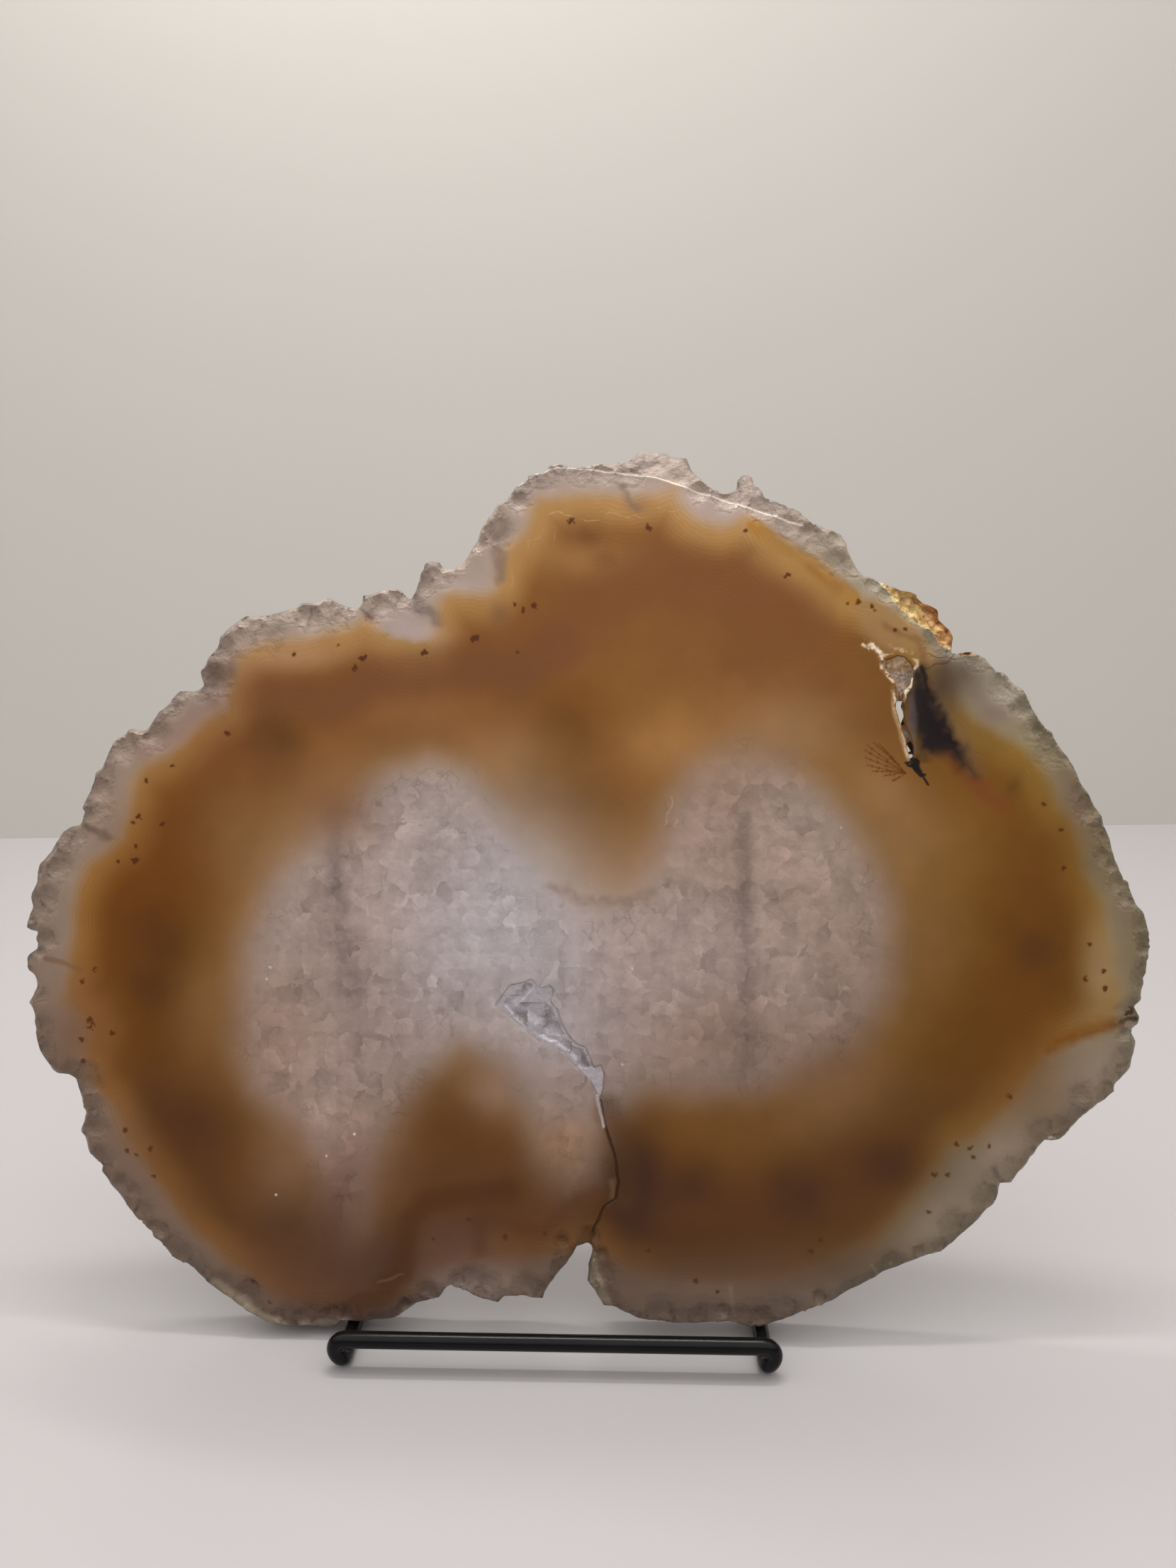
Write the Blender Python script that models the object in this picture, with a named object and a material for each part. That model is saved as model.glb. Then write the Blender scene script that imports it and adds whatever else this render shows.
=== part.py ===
"""An agate slice leaning on a bent wire stand. Metres, +Z up, front towards -Y."""

import math

import bmesh
import bpy
import numpy as np
from mathutils import Vector

MM = 0.001

# Wire stand
WIRE_DIAMETER = 3.6 * MM
BAR_CORNER_SPACING = 91.0 * MM
BAR_HEIGHT = 7.0 * MM
FOOT_SPACING = 85.3 * MM
FOOT_DEPTH = 43.3 * MM
UPRIGHT_HEIGHT = 106.5 * MM
LEFT_UPRIGHT_SWAY = -6.7 * MM
RIGHT_UPRIGHT_SWAY = -3.8 * MM
HOOK_BEND = 2.2 * MM
CORNER_BEND = 4.0 * MM
BEND_STEPS = 5
WIRE_GAP = 0.3 * MM

# Turn of the wire's section that puts one of its corners straight under each foot
FOOT_ROLL = math.radians(13)

# Agate slice, in its own plane: X to the right, Z up the slope, Y through its thickness
SLICE_THICKNESS = 9.0 * MM
SLICE_LEAN = math.radians(12)
SLICE_FRONT = 8.2 * MM
REST_LINE = -1.0 * MM
RIM_STEP = 2.3 * MM
FACE_INSET = 0.5 * MM
RIND_SWELL = 0.75 * MM
RIND_LUMP = 0.45 * MM
RIND_ROUGHNESS = 0.3 * MM
RIND_SEED = 7

# Depths of the rind's sections below the front face, in millimetres
SECTION_DEPTHS = (0.0, 0.5, 1.6, 3.2, 4.9, 6.6, 8.3, 9.0)

# Edge of the slice in millimetres, clockwise from the left foot wire as seen from the front
RIM = (
    # Lower left
    (-42, -1.0), (-47, -2.2), (-55.7, -2.4), (-59.9, -1.8), (-63.1, -0.3), (-70.3, 4.5), (-76.7, 9.4),
    (-80.6, 11.6), (-83.4, 15.2), (-88.4, 20.1), (-93.6, 26.7), (-95.9, 29.9), (-95.6, 31.1),
    (-98.6, 33.6), (-99.4, 37.0), (-100.5, 38.1), (-99.3, 42.0), (-100.2, 45.5), (-101.2, 49.5),
    # Left flank
    (-104.9, 50.3), (-107.6, 52.9), (-109.7, 57.0), (-110.1, 63.0), (-111.2, 65.4), (-109.4, 68.9),
    (-111.6, 72.7), (-111.5, 75.0), (-109.5, 76.8), (-109.3, 80.1), (-111.6, 81.2), (-110.2, 85.4),
    (-110.7, 87.4), (-109.4, 91.5), (-108.6, 94.7), (-105.4, 98.6), (-103.6, 101.4), (-100.2, 102.9),
    (-99.8, 106.1), (-97.6, 110.7), (-96.8, 113.7), (-95.4, 114.6), (-92.4, 120.8), (-89.8, 122.8),
    # Upper left shoulder
    (-85.9, 122.8), (-83.5, 126.5), (-79.2, 130.6), (-75.4, 130.8), (-73.9, 131.9), (-74.5, 134.9),
    (-71.1, 139.9), (-70.0, 142.6), (-66.8, 145.3), (-65.1, 146.5), (-58.0, 147.1), (-53.1, 149.2),
    (-49.7, 149.4), (-47.8, 150.4), (-43.9, 148.5), (-41.4, 148.0), (-40.8, 150.6), (-36.1, 151.9),
    (-32.9, 152.0), (-30.5, 149.7), (-29.3, 152.8), (-28.0, 157.7), (-24.9, 157.7), (-23.4, 156.4),
    # Crown
    (-20.0, 157.7), (-17.2, 162.4), (-13.3, 169.4), (-11.4, 170.3), (-9.0, 173.5), (-6.6, 175.7),
    (-2.7, 176.4), (-1.6, 178.0), (4.9, 177.4), (12.6, 178.5), (17.0, 180.8), (22.2, 180.3),
    (26.3, 179.3), (27.3, 176.9), (31.4, 173.0), (34.2, 171.8), (36.4, 172.6), (37.2, 175.3),
    (39.6, 175.8), (40.9, 172.9), (43.9, 170.6), (48.7, 168.5), (52.0, 166.0), (56.4, 164.5),
    # Under the ochre crust
    (58.3, 163.4), (60.4, 158.8), (62.6, 154.9), (65.4, 153.2), (67.2, 150.5), (69.6, 147.3),
    (74.6, 143.9), (77.2, 140.8), (80.4, 138.9), (84.4, 139.3), (87.4, 138.0),
    # Right flank
    (91.2, 134.9), (95.3, 131.3), (97.0, 127.9), (98.9, 124.8), (101.1, 122.9), (104.2, 118.1),
    (106.2, 114.3), (108.9, 110.2), (111.4, 105.7), (113.7, 98.5), (114.9, 95.0), (116.8, 92.5),
    (118.4, 87.7), (120.2, 85.8), (121.3, 80.0), (120.8, 73.5), (120.0, 67.9), (118.4, 66.6),
    (119.6, 64.1), (118.1, 61.6), (118.9, 59.5), (117.6, 54.1), (112.0, 47.0), (105.0, 40.4),
    # Lower right
    (100.5, 38.6), (96.4, 33.1), (93.6, 29.7), (91.5, 29.5), (90.6, 26.0), (85.1, 20.2), (79.6, 15.4),
    (70.2, 11.8), (62.4, 8.0), (55.1, 3.9), (49.4, 1.6), (44.6, -0.8), (42.0, -1.0), (30.0, -0.6),
    (19.7, -0.3),
    # Bottom notch
    (14.0, 2.4), (11.2, 6.0), (8.6, 11.2), (7.6, 14.2), (6.4, 15.8), (4.6, 15.0), (2.1, 10.8),
    (-3.6, 10.0), (-9.0, 11.0), (-21.0, 11.0), (-23.2, 7.6), (-24.5, 4.6), (-29.0, 3.0),
    (-32.4, 0.6), (-36.0, -0.7),
)

# Places where the rind runs out further behind the front face: centre, radius, reach, in millimetres
LEDGES = (
    ((74.4, 145.0), 9.6, 5.4),
    ((-17.0, 10.6), 6.6, 5.2),
    ((-6.6, 10.4), 6.0, 5.8),
    ((9.6, 9.0), 6.5, 3.0),
    ((20.0, 180.0), 9.0, 1.0),
)
LEDGE_START = 0.8
LEDGE_FULL = 3.4
CRUST_LUMP = 0.9

# The back edge is drawn in along the bottom, where the slice sits level on its wires
SEAT_HALF_WIDTH = 74.0
SEAT_TOP = 7.0

# Pocket in the quartz centre: bulbs of the hollow as (x, z, radius), in millimetres
POCKET_BULBS = (
    (-9.6, 65.8, 2.9),
    (-5.6, 67.6, 3.7),
    (-1.9, 66.0, 3.7),
    (0.6, 61.6, 3.6),
    (3.4, 56.6, 3.9),
    (6.6, 52.2, 3.3),
    (8.3, 49.0, 2.1),
)
POCKET_SINK = 0.25
DRUSE_GAP = 0.35
CRUST_TOP = 2.3
CRYSTAL_MARGIN = 1.6
CRYSTAL_SPREAD = ((0.0, 0.0), (0.75, 0.2), (-0.7, 0.35), (0.18, -0.75), (-0.1, 0.8))

# Crack from the pocket down to the notch, as (x, z, half width), in millimetres
CRACK = (
    (8.7, 48.5, 0.5),
    (9.4, 44.0, 0.4),
    (10.7, 38.8, 0.4),
    (12.2, 34.0, 0.45),
    (12.5, 29.5, 0.6),
    (11.6, 25.6, 0.7),
    (9.6, 23.8, 0.45),
    (8.2, 20.0, 0.45),
    (7.0, 14.0, 0.8),
)
CRACK_DEPTH_FRONT = 3.0
CRACK_DEPTH_BACK = 2.0

# Vug at the upper right: mouth of its funnel, and the slots that go right through, in millimetres
VUG_MOUTH = (
    (65.6, 137.6), (65.6, 135.6), (67.4, 134.2), (68.5, 132.3), (68.5, 128.2), (70.2, 128.2),
    (70.1, 130.4), (72.2, 133.4), (72.4, 135.6), (71.0, 138.0), (68.6, 138.9), (66.6, 138.6),
)
VUG_FLOOR_SCALE = 0.55
VUG_DEPTH = 6.6
UPPER_SLOT = (
    (68.6, 129.2), (68.3, 127.4), (69.1, 125.6), (69.5, 123.9), (70.9, 123.9), (70.4, 126.4),
    (70.2, 129.2),
)
LOWER_SLOT = (
    (70.8, 120.2), (71.2, 117.8), (71.7, 116.0), (72.3, 117.0), (72.6, 119.4), (72.1, 121.4),
    (71.5, 120.6),
)
SLOT_BRIDGE = (
    (69.6, 124.6), (69.9, 122.2), (70.7, 119.8), (72.2, 120.6), (71.8, 122.4), (71.0, 124.6),
)
BRIDGE_DEPTH = 4.2

# Crust of crystals in the vug: its outline, and the depths it lies between
VUG_CRUST = (
    (66.8, 136.6), (66.8, 135.4), (68.1, 134.4), (68.9, 132.9), (69.7, 132.6), (71.1, 133.7),
    (71.3, 135.1), (70.4, 136.7), (68.7, 137.3), (67.3, 137.2),
)
VUG_CRUST_DEPTHS = (3.4, 6.1)
VUG_CRUST_TAPER = 0.66
VUG_CRYSTALS = (
    (67.9, 136.2), (69.2, 136.4), (70.2, 135.6), (68.7, 135.2), (70.1, 134.4), (69.4, 133.7),
    (67.6, 135.6),
)

# Crystals
CRYSTAL_SIDES = 6
CRYSTAL_SEED = 23


def clear_scene():
    for old in list(bpy.data.objects):
        bpy.data.objects.remove(old, do_unlink=True)
    for old in list(bpy.data.collections):
        bpy.data.collections.remove(old)


def new_collection(name, hidden=False):
    collection = bpy.data.collections.new(name)
    bpy.context.scene.collection.children.link(collection)
    collection.hide_render = hidden
    return collection


def principled(name, color, roughness, metallic=0.0, coat=0.0):
    material = bpy.data.materials.new(name)
    material.use_nodes = True
    shader = material.node_tree.nodes["Principled BSDF"]
    shader.inputs["Base Color"].default_value = (*color, 1.0)
    shader.inputs["Roughness"].default_value = roughness
    shader.inputs["Metallic"].default_value = metallic
    shader.inputs["Coat Weight"].default_value = coat
    return material


def mesh_object(name, bm, collection, material=None):
    mesh = bpy.data.meshes.new(name)
    bm.to_mesh(mesh)
    bm.free()
    if material:
        mesh.materials.append(material)
    obj = bpy.data.objects.new(name, mesh)
    collection.objects.link(obj)
    return obj


def as_cutter(obj):
    obj.hide_render = True
    obj.display_type = "WIRE"
    return obj


def applied(obj):
    """Makes the object's modifiers part of its mesh."""
    graph = bpy.context.evaluated_depsgraph_get()
    mesh = bpy.data.meshes.new_from_object(obj.evaluated_get(graph))
    obj.modifiers.clear()
    obj.data = mesh
    return obj


def combine(obj, others, operation):
    """Adds or cuts each of the other solids, one after another."""
    for other in others:
        modifier = obj.modifiers.new(operation.lower(), "BOOLEAN")
        modifier.operation = operation
        modifier.solver = "EXACT"
        modifier.object = other
        bpy.context.view_layer.update()
        applied(obj)
    return obj


def loft(rings):
    """A closed solid through rings of equal length, each an array of (x, y, z), capped at both ends."""
    bm = bmesh.new()
    rows = [[bm.verts.new(point) for point in ring] for ring in rings]
    count = len(rows[0])
    for near, far in zip(rows, rows[1:]):
        for i in range(count):
            j = (i + 1) % count
            bm.faces.new((near[i], near[j], far[j], far[i]))
    bm.faces.new(rows[0][::-1])
    bm.faces.new(rows[-1])
    bmesh.ops.recalc_face_normals(bm, faces=bm.faces)
    return bm


def subdivided(points, step):
    """The closed outline with each long side divided, as arrays of points and of lengths along it."""
    found = []
    for start, end in zip(points, np.roll(points, -1, axis=0)):
        pieces = max(1, math.ceil(np.linalg.norm(end - start) / step))
        found.extend(start + (end - start) * k / pieces for k in range(pieces))
    found = np.array(found)
    sides = np.linalg.norm(np.roll(found, -1, axis=0) - found, axis=1)
    return found, np.concatenate([[0.0], np.cumsum(sides)[:-1]]), sides.sum()


def outward(points, spread):
    """Unit directions out of a clockwise outline, each averaged over a few neighbours."""
    tangent = np.roll(points, -spread, axis=0) - np.roll(points, spread, axis=0)
    normal = np.column_stack([-tangent[:, 1], tangent[:, 0]])
    return normal / np.linalg.norm(normal, axis=1, keepdims=True)


def rind_lumps(along, total, depth, waves, seed):
    """Lumps of the rind: sines round the whole edge, each drifting as it goes deeper. About -1 to 1."""
    rng = np.random.default_rng(seed)
    height = np.zeros(len(along))
    for wave in waves:
        phase, drift, swing = rng.uniform(0, 2 * math.pi), rng.uniform(-0.7, 0.7), rng.uniform(0.6, 1.0)
        height += swing * np.sin(2 * math.pi * wave * along / total + phase + drift * depth / MM)
    return height / math.sqrt(len(waves))


def smooth_step(value, low, high):
    share = np.clip((value - low) / (high - low), 0, 1)
    return share * share * (3 - 2 * share)


def ledge_reach(points, depth):
    """How far the rind stands out at this depth beyond the edge of the front face."""
    reach = np.zeros(len(points))
    for centre, radius, most in LEDGES:
        away = np.linalg.norm(points / MM - np.array(centre), axis=1)
        reach += most * np.exp(-((away / radius) ** 4))
    return reach * MM * smooth_step(depth / MM, LEDGE_START, LEDGE_FULL)


def seat_draw(points, depth):
    """How far the rind draws in with depth where the slice sits on the wires."""
    x, z = points[:, 0] / MM, points[:, 1] / MM
    across = 1 - smooth_step(np.abs(x), SEAT_HALF_WIDTH - 12, SEAT_HALF_WIDTH)
    low = 1 - smooth_step(z, 2.0, SEAT_TOP)
    return across * low * depth * math.tan(SLICE_LEAN)


def slice_sections():
    """Rings of the slice from its front face to its back face."""
    rim, along, total = subdivided(np.array(RIM) * MM, RIM_STEP)
    jag = rind_lumps(along, total, 0.0, (97, 139, 211), RIND_SEED)
    fine = outward(rim, 1)
    broad = outward(rim, 4)
    seated = np.exp(-(((np.abs(rim[:, 0]) - 42.3 * MM) / (4 * MM)) ** 4)) * (rim[:, 1] < 2 * MM)
    rim = rim + fine * (RIND_ROUGHNESS * jag * (1 - seated))[:, None]
    rings = []
    for depth in np.array(SECTION_DEPTHS) * MM:
        middle = math.sin(math.pi * depth / SLICE_THICKNESS) ** 0.5 if 0 < depth < SLICE_THICKNESS else 0
        lumps = rind_lumps(along, total, depth, (29, 47, 71, 113), RIND_SEED + 1)
        reach = ledge_reach(rim, depth)
        rough = RIND_LUMP + CRUST_LUMP * reach / 5
        out = -FACE_INSET + (RIND_SWELL + rough * lumps) * middle * (1 - seated) + reach
        flat = rim + broad * out[:, None]
        flat[:, 1] += seat_draw(rim, depth)
        rings.append(np.column_stack([flat[:, 0], np.full(len(flat), depth), flat[:, 1]]))
    return rings


def flat_outline(points, depth, scale=1.0):
    """An outline in the slice's plane at one depth, in metres, drawn in towards its middle by scale."""
    points = np.array(points, dtype=float)
    middle = points.mean(axis=0)
    points = middle + (points - middle) * scale
    return np.column_stack([points[:, 0], np.full(len(points), depth), points[:, 1]]) * MM


def ribbon(path):
    """The outline of a strip that follows the path, each point (x, z, half width)."""
    path = np.array(path)
    middle, half = path[:, :2], path[:, 2:]
    tangent = np.gradient(middle, axis=0)
    tangent /= np.linalg.norm(tangent, axis=1, keepdims=True)
    side = np.column_stack([tangent[:, 1], -tangent[:, 0]]) * half
    return np.concatenate([middle + side, (middle - side)[::-1]])


def pocket_scoops(collection, shrink, sink, name):
    """Bulbs that are cut out of the front face, or fill the hollow with a gap all round."""
    scoops = []
    for x, z, radius in POCKET_BULBS:
        bm = bmesh.new()
        bmesh.ops.create_icosphere(bm, subdivisions=2, radius=(radius - shrink) * MM)
        centre = Vector((x * MM, sink * radius * MM, z * MM))
        bmesh.ops.translate(bm, verts=bm.verts, vec=centre)
        scoops.append(mesh_object(name, bm, collection))
    return scoops


def slice_cutters(collection):
    """Everything that is hollow in the slice."""
    back = SLICE_THICKNESS / MM
    crack = ribbon(CRACK)
    shapes = {
        "cut_crack_front": (flat_outline(crack, -1), flat_outline(crack, CRACK_DEPTH_FRONT)),
        "cut_crack_back": (flat_outline(crack, back - CRACK_DEPTH_BACK), flat_outline(crack, back + 1)),
        "cut_vug": (
            flat_outline(VUG_MOUTH, -1),
            flat_outline(VUG_MOUTH, 0.4),
            flat_outline(VUG_MOUTH, VUG_DEPTH, VUG_FLOOR_SCALE),
        ),
        "cut_upper_slot": (flat_outline(UPPER_SLOT, -1), flat_outline(UPPER_SLOT, back + 1)),
        "cut_lower_slot": (flat_outline(LOWER_SLOT, -1), flat_outline(LOWER_SLOT, back + 1)),
        "cut_slot_bridge": (flat_outline(SLOT_BRIDGE, -1), flat_outline(SLOT_BRIDGE, BRIDGE_DEPTH)),
    }
    cutters = [mesh_object(name, loft(rings), collection) for name, rings in shapes.items()]
    cutters += pocket_scoops(collection, 0.0, POCKET_SINK, "cut_pocket")
    return [as_cutter(cutter) for cutter in cutters]


def crystal(collection, foot, direction, radius, length):
    """A six-sided crystal point: a short prism with a pyramid on it."""
    bm = bmesh.new()
    shaft = length * 0.55
    bottom = [(radius * math.cos(a), radius * math.sin(a)) for a in hexagon_angles()]
    rings = [[bm.verts.new((x, y, z)) for x, y in bottom] for z in (0.0, shaft)]
    tip = bm.verts.new((0, 0, length))
    for i in range(CRYSTAL_SIDES):
        j = (i + 1) % CRYSTAL_SIDES
        bm.faces.new((rings[0][i], rings[0][j], rings[1][j], rings[1][i]))
        bm.faces.new((rings[1][i], rings[1][j], tip))
    bm.faces.new(rings[0][::-1])
    turn = Vector((0, 0, 1)).rotation_difference(Vector(direction)).to_matrix()
    bmesh.ops.rotate(bm, verts=bm.verts, cent=(0, 0, 0), matrix=turn)
    bmesh.ops.translate(bm, verts=bm.verts, vec=Vector(foot))
    return mesh_object("crystal", bm, collection)


def hexagon_angles():
    return [2 * math.pi * k / CRYSTAL_SIDES for k in range(CRYSTAL_SIDES)]


def crystal_crust(base, places, depth, radius, length, collection):
    """Grows a crystal from the crust at each place, all pointing roughly out of the front face."""
    rng = np.random.default_rng(CRYSTAL_SEED)
    crystals = []
    for x, z in places:
        tilt = Vector((rng.uniform(-0.3, 0.3), -1.0, rng.uniform(-0.3, 0.3))).normalized()
        size = rng.uniform(0.75, 1.2)
        foot = (x * MM, depth * MM, z * MM)
        crystals.append(crystal(collection, foot, tilt, radius * size * MM, length * size * MM))
    combine(base, crystals, "UNION")
    for helper in crystals:
        bpy.data.objects.remove(helper, do_unlink=True)
    return base


def slab_block(collection, near, far):
    """A flat block wider than the slice, from one depth to another, in millimetres."""
    square = ((-130, -10), (-130, 190), (130, 190), (130, -10))
    return mesh_object("block", loft((flat_outline(square, near), flat_outline(square, far))), collection)


def pocket_druse(parts, helpers, material):
    """Crystal crust on the floor of the pocket."""
    bulbs = pocket_scoops(helpers, DRUSE_GAP, POCKET_SINK, "bulb")
    crust = combine(bulbs[0], bulbs[1:], "UNION")
    skim = slab_block(helpers, -10, CRUST_TOP)
    combine(crust, [skim], "DIFFERENCE")
    for helper in bulbs[1:] + [skim]:
        bpy.data.objects.remove(helper, do_unlink=True)
    places = []
    for x, z, bulb in POCKET_BULBS[:-1]:
        room = bulb - CRYSTAL_MARGIN
        places += [(x + right * room, z + up * room) for right, up in CRYSTAL_SPREAD]
    crystal_crust(crust, places, CRUST_TOP + 0.3, 0.7, 1.7, helpers)
    return as_part(crust, "pocket_druse", parts, helpers, material)


def vug_druse(parts, helpers, material):
    """Crystal crust in the funnel of the vug."""
    near, far = VUG_CRUST_DEPTHS
    rings = (flat_outline(VUG_CRUST, near), flat_outline(VUG_CRUST, far, VUG_CRUST_TAPER))
    crust = mesh_object("vug_druse", loft(rings), helpers)
    crystal_crust(crust, VUG_CRYSTALS, near + 0.5, 0.6, 1.5, helpers)
    return as_part(crust, "vug_druse", parts, helpers, material)


def as_part(obj, name, parts, helpers, material):
    obj.name = name
    obj.data.materials.clear()
    obj.data.materials.append(material)
    helpers.objects.unlink(obj)
    parts.objects.link(obj)
    return obj


def agate_slice(parts, cutters, material):
    """The slice: its rind lofted from face to face, then the vug, slots, pocket and crack cut out."""
    body = mesh_object("agate_slice", loft(slice_sections()), parts, material)
    combine(body, slice_cutters(cutters), "DIFFERENCE")
    return body


def rounded(corners, radii):
    """The route through the corners, with an arc of the given radius in place of each inner one."""
    corners = [Vector(corner) for corner in corners]
    route = [corners[0]]
    for before, corner, after, radius in zip(corners, corners[1:], corners[2:], radii):
        back, ahead = (before - corner).normalized(), (after - corner).normalized()
        half = back.angle(ahead) / 2
        middle = corner + (back + ahead).normalized() * (radius / math.sin(half))
        start = corner + back * (radius / math.tan(half))
        end = corner + ahead * (radius / math.tan(half))
        first, last = start - middle, end - middle
        turn = first.angle(last)
        for step in range(BEND_STEPS + 1):
            share = step / BEND_STEPS
            mix = first * math.sin((1 - share) * turn) + last * math.sin(share * turn)
            route.append(middle + mix / math.sin(turn))
    route.append(corners[-1])
    return route


def back_of_slice(height):
    """The Y of the slice's back face at a height above the table."""
    rise = height - (WIRE_DIAMETER + WIRE_GAP)
    return SLICE_FRONT + rise * math.tan(SLICE_LEAN) + SLICE_THICKNESS / math.cos(SLICE_LEAN)


def stand_wire(parts, material):
    """One bent wire: upright, foot, hook, bar, hook, foot, upright."""
    radius = WIRE_DIAMETER / 2
    top_y = back_of_slice(UPRIGHT_HEIGHT) + WIRE_GAP + radius
    foot_x = FOOT_SPACING / 2
    bar_x = BAR_CORNER_SPACING / 2
    left = [
        (LEFT_UPRIGHT_SWAY - foot_x, top_y, UPRIGHT_HEIGHT),
        (-foot_x, FOOT_DEPTH, radius),
        (-foot_x, 0.0, radius),
        (-bar_x, -0.2 * MM, BAR_HEIGHT),
    ]
    right = [
        (bar_x, -0.2 * MM, BAR_HEIGHT),
        (foot_x, 0.0, radius),
        (foot_x, FOOT_DEPTH, radius),
        (RIGHT_UPRIGHT_SWAY + foot_x, top_y, UPRIGHT_HEIGHT),
    ]
    bends = (CORNER_BEND, HOOK_BEND, HOOK_BEND, HOOK_BEND, HOOK_BEND, CORNER_BEND)
    route = rounded(left + right, bends)
    curve = bpy.data.curves.new("stand_wire", "CURVE")
    curve.dimensions = "3D"
    curve.bevel_depth = radius
    curve.bevel_resolution = 2
    curve.use_fill_caps = True
    spline = curve.splines.new("POLY")
    spline.points.add(len(route) - 1)
    for point, place in zip(spline.points, route):
        point.co = (*place, 1.0)
        point.tilt = FOOT_ROLL
    curve.materials.append(material)
    obj = bpy.data.objects.new("stand_wire", curve)
    parts.objects.link(obj)
    return obj


def lean_back(objects):
    """Stands the slice's own plane on the foot wires, leaning back."""
    for obj in objects:
        obj.rotation_euler = (-SLICE_LEAN, 0, 0)
        drop = Vector((0, 0, -REST_LINE))
        drop.rotate(obj.rotation_euler)
        obj.location = Vector((0, SLICE_FRONT, WIRE_DIAMETER + WIRE_GAP)) + drop


def centre_on_base(objects):
    """Parents all pieces to one empty, and moves it so that the middle of their footprint is the origin."""
    bpy.context.view_layer.update()
    graph = bpy.context.evaluated_depsgraph_get()
    corners = []
    for obj in objects:
        evaluated = obj.evaluated_get(graph)
        mesh = evaluated.to_mesh()
        corners += [evaluated.matrix_world @ vertex.co for vertex in mesh.vertices]
        evaluated.to_mesh_clear()
    corners = np.array(corners)
    low, high = corners.min(axis=0), corners.max(axis=0)
    base = bpy.data.objects.new("agate_display", None)
    bpy.context.scene.collection.objects.link(base)
    for obj in objects:
        obj.parent = base
    base.location = (-(low[0] + high[0]) / 2, -(low[1] + high[1]) / 2, -low[2])


def main():
    clear_scene()
    parts = new_collection("agate slice on wire stand")
    cutters = new_collection("cutters", hidden=True)
    agate = principled("polished agate", (0.40, 0.25, 0.13), 0.12, coat=0.3)
    quartz = principled("quartz crystals", (0.62, 0.58, 0.57), 0.2)
    coating = principled("black coating", (0.012, 0.012, 0.014), 0.25)
    stone = agate_slice(parts, cutters, agate)
    pocket = pocket_druse(parts, cutters, quartz)
    vug = vug_druse(parts, cutters, quartz)
    lean_back([stone, pocket, vug] + list(cutters.objects))
    wire = stand_wire(parts, coating)
    centre_on_base([stone, pocket, vug, wire])


main()
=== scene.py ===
"""Looks of a polished agate slice that leans on a black wire stand.

Every length below is in millimetres unless a name says otherwise; meshes are in metres.
The slice is described on its own plane: u runs across it, v runs up along it from the rest line,
and depth runs from the polished front face (0) to the sawn back face (9).
"""

import logging
import math
from dataclasses import dataclass, field
from enum import Enum
from typing import Callable, Sequence

import bpy
import numpy as np
from mathutils import Matrix, Vector
from mathutils.geometry import delaunay_2d_cdt


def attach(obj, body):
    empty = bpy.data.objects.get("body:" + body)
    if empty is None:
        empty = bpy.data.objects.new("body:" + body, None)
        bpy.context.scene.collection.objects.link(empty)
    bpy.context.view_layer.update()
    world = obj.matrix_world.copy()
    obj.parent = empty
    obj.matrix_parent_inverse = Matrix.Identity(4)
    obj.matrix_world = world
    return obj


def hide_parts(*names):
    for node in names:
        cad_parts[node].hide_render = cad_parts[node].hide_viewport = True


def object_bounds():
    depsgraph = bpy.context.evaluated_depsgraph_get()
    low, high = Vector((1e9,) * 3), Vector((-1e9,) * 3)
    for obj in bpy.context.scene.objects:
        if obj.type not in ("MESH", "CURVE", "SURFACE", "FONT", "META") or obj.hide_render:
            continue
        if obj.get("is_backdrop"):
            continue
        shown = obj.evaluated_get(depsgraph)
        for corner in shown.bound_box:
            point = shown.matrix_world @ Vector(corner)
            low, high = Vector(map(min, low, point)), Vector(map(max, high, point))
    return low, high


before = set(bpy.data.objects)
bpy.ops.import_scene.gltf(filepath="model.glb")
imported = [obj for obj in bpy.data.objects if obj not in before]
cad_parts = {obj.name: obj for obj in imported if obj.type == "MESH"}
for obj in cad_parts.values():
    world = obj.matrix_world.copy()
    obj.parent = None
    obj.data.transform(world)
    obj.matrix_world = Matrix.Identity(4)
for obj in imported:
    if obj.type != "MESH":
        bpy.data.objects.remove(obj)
CAD_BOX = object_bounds()

log = logging.getLogger("agate")
Array = np.ndarray
Point = tuple[float, float]
Place = tuple[float, float, float]
Line = tuple[Point, ...]
Drawn = Line | Array
Tone = tuple[int, int, int]
Socket = bpy.types.NodeSocket
Measure = Callable[[Array, Array], Array]  # gives a number for each point
MM = 0.001

# Most pairs of a point and a segment that are compared in one go, to spare memory.
AT_ONCE = 4_000_000


# ---- helpers for fields on the slice ----


def smooth(value: Array, low: float, high: float) -> Array:
    """Gives 0 below low and 1 above high, with the curve 3t^2 - 2t^3 between them."""
    t = np.clip((value - low) / (high - low), 0.0, 1.0)
    return t * t * (3.0 - 2.0 * t)


def hashed(column: Array, row: Array, seed: int) -> Array:
    """Gives one fixed number from 0 to 1 for each whole lattice point, by mixing its bits."""
    mixed = (column * 374761393 + row * 668265263 + seed * 974711) & 0xFFFFFFFF
    mixed = ((mixed ^ (mixed >> 13)) * 1274126177) & 0xFFFFFFFF
    return ((mixed ^ (mixed >> 16)) & 0xFFFF) / 65535.0


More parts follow.
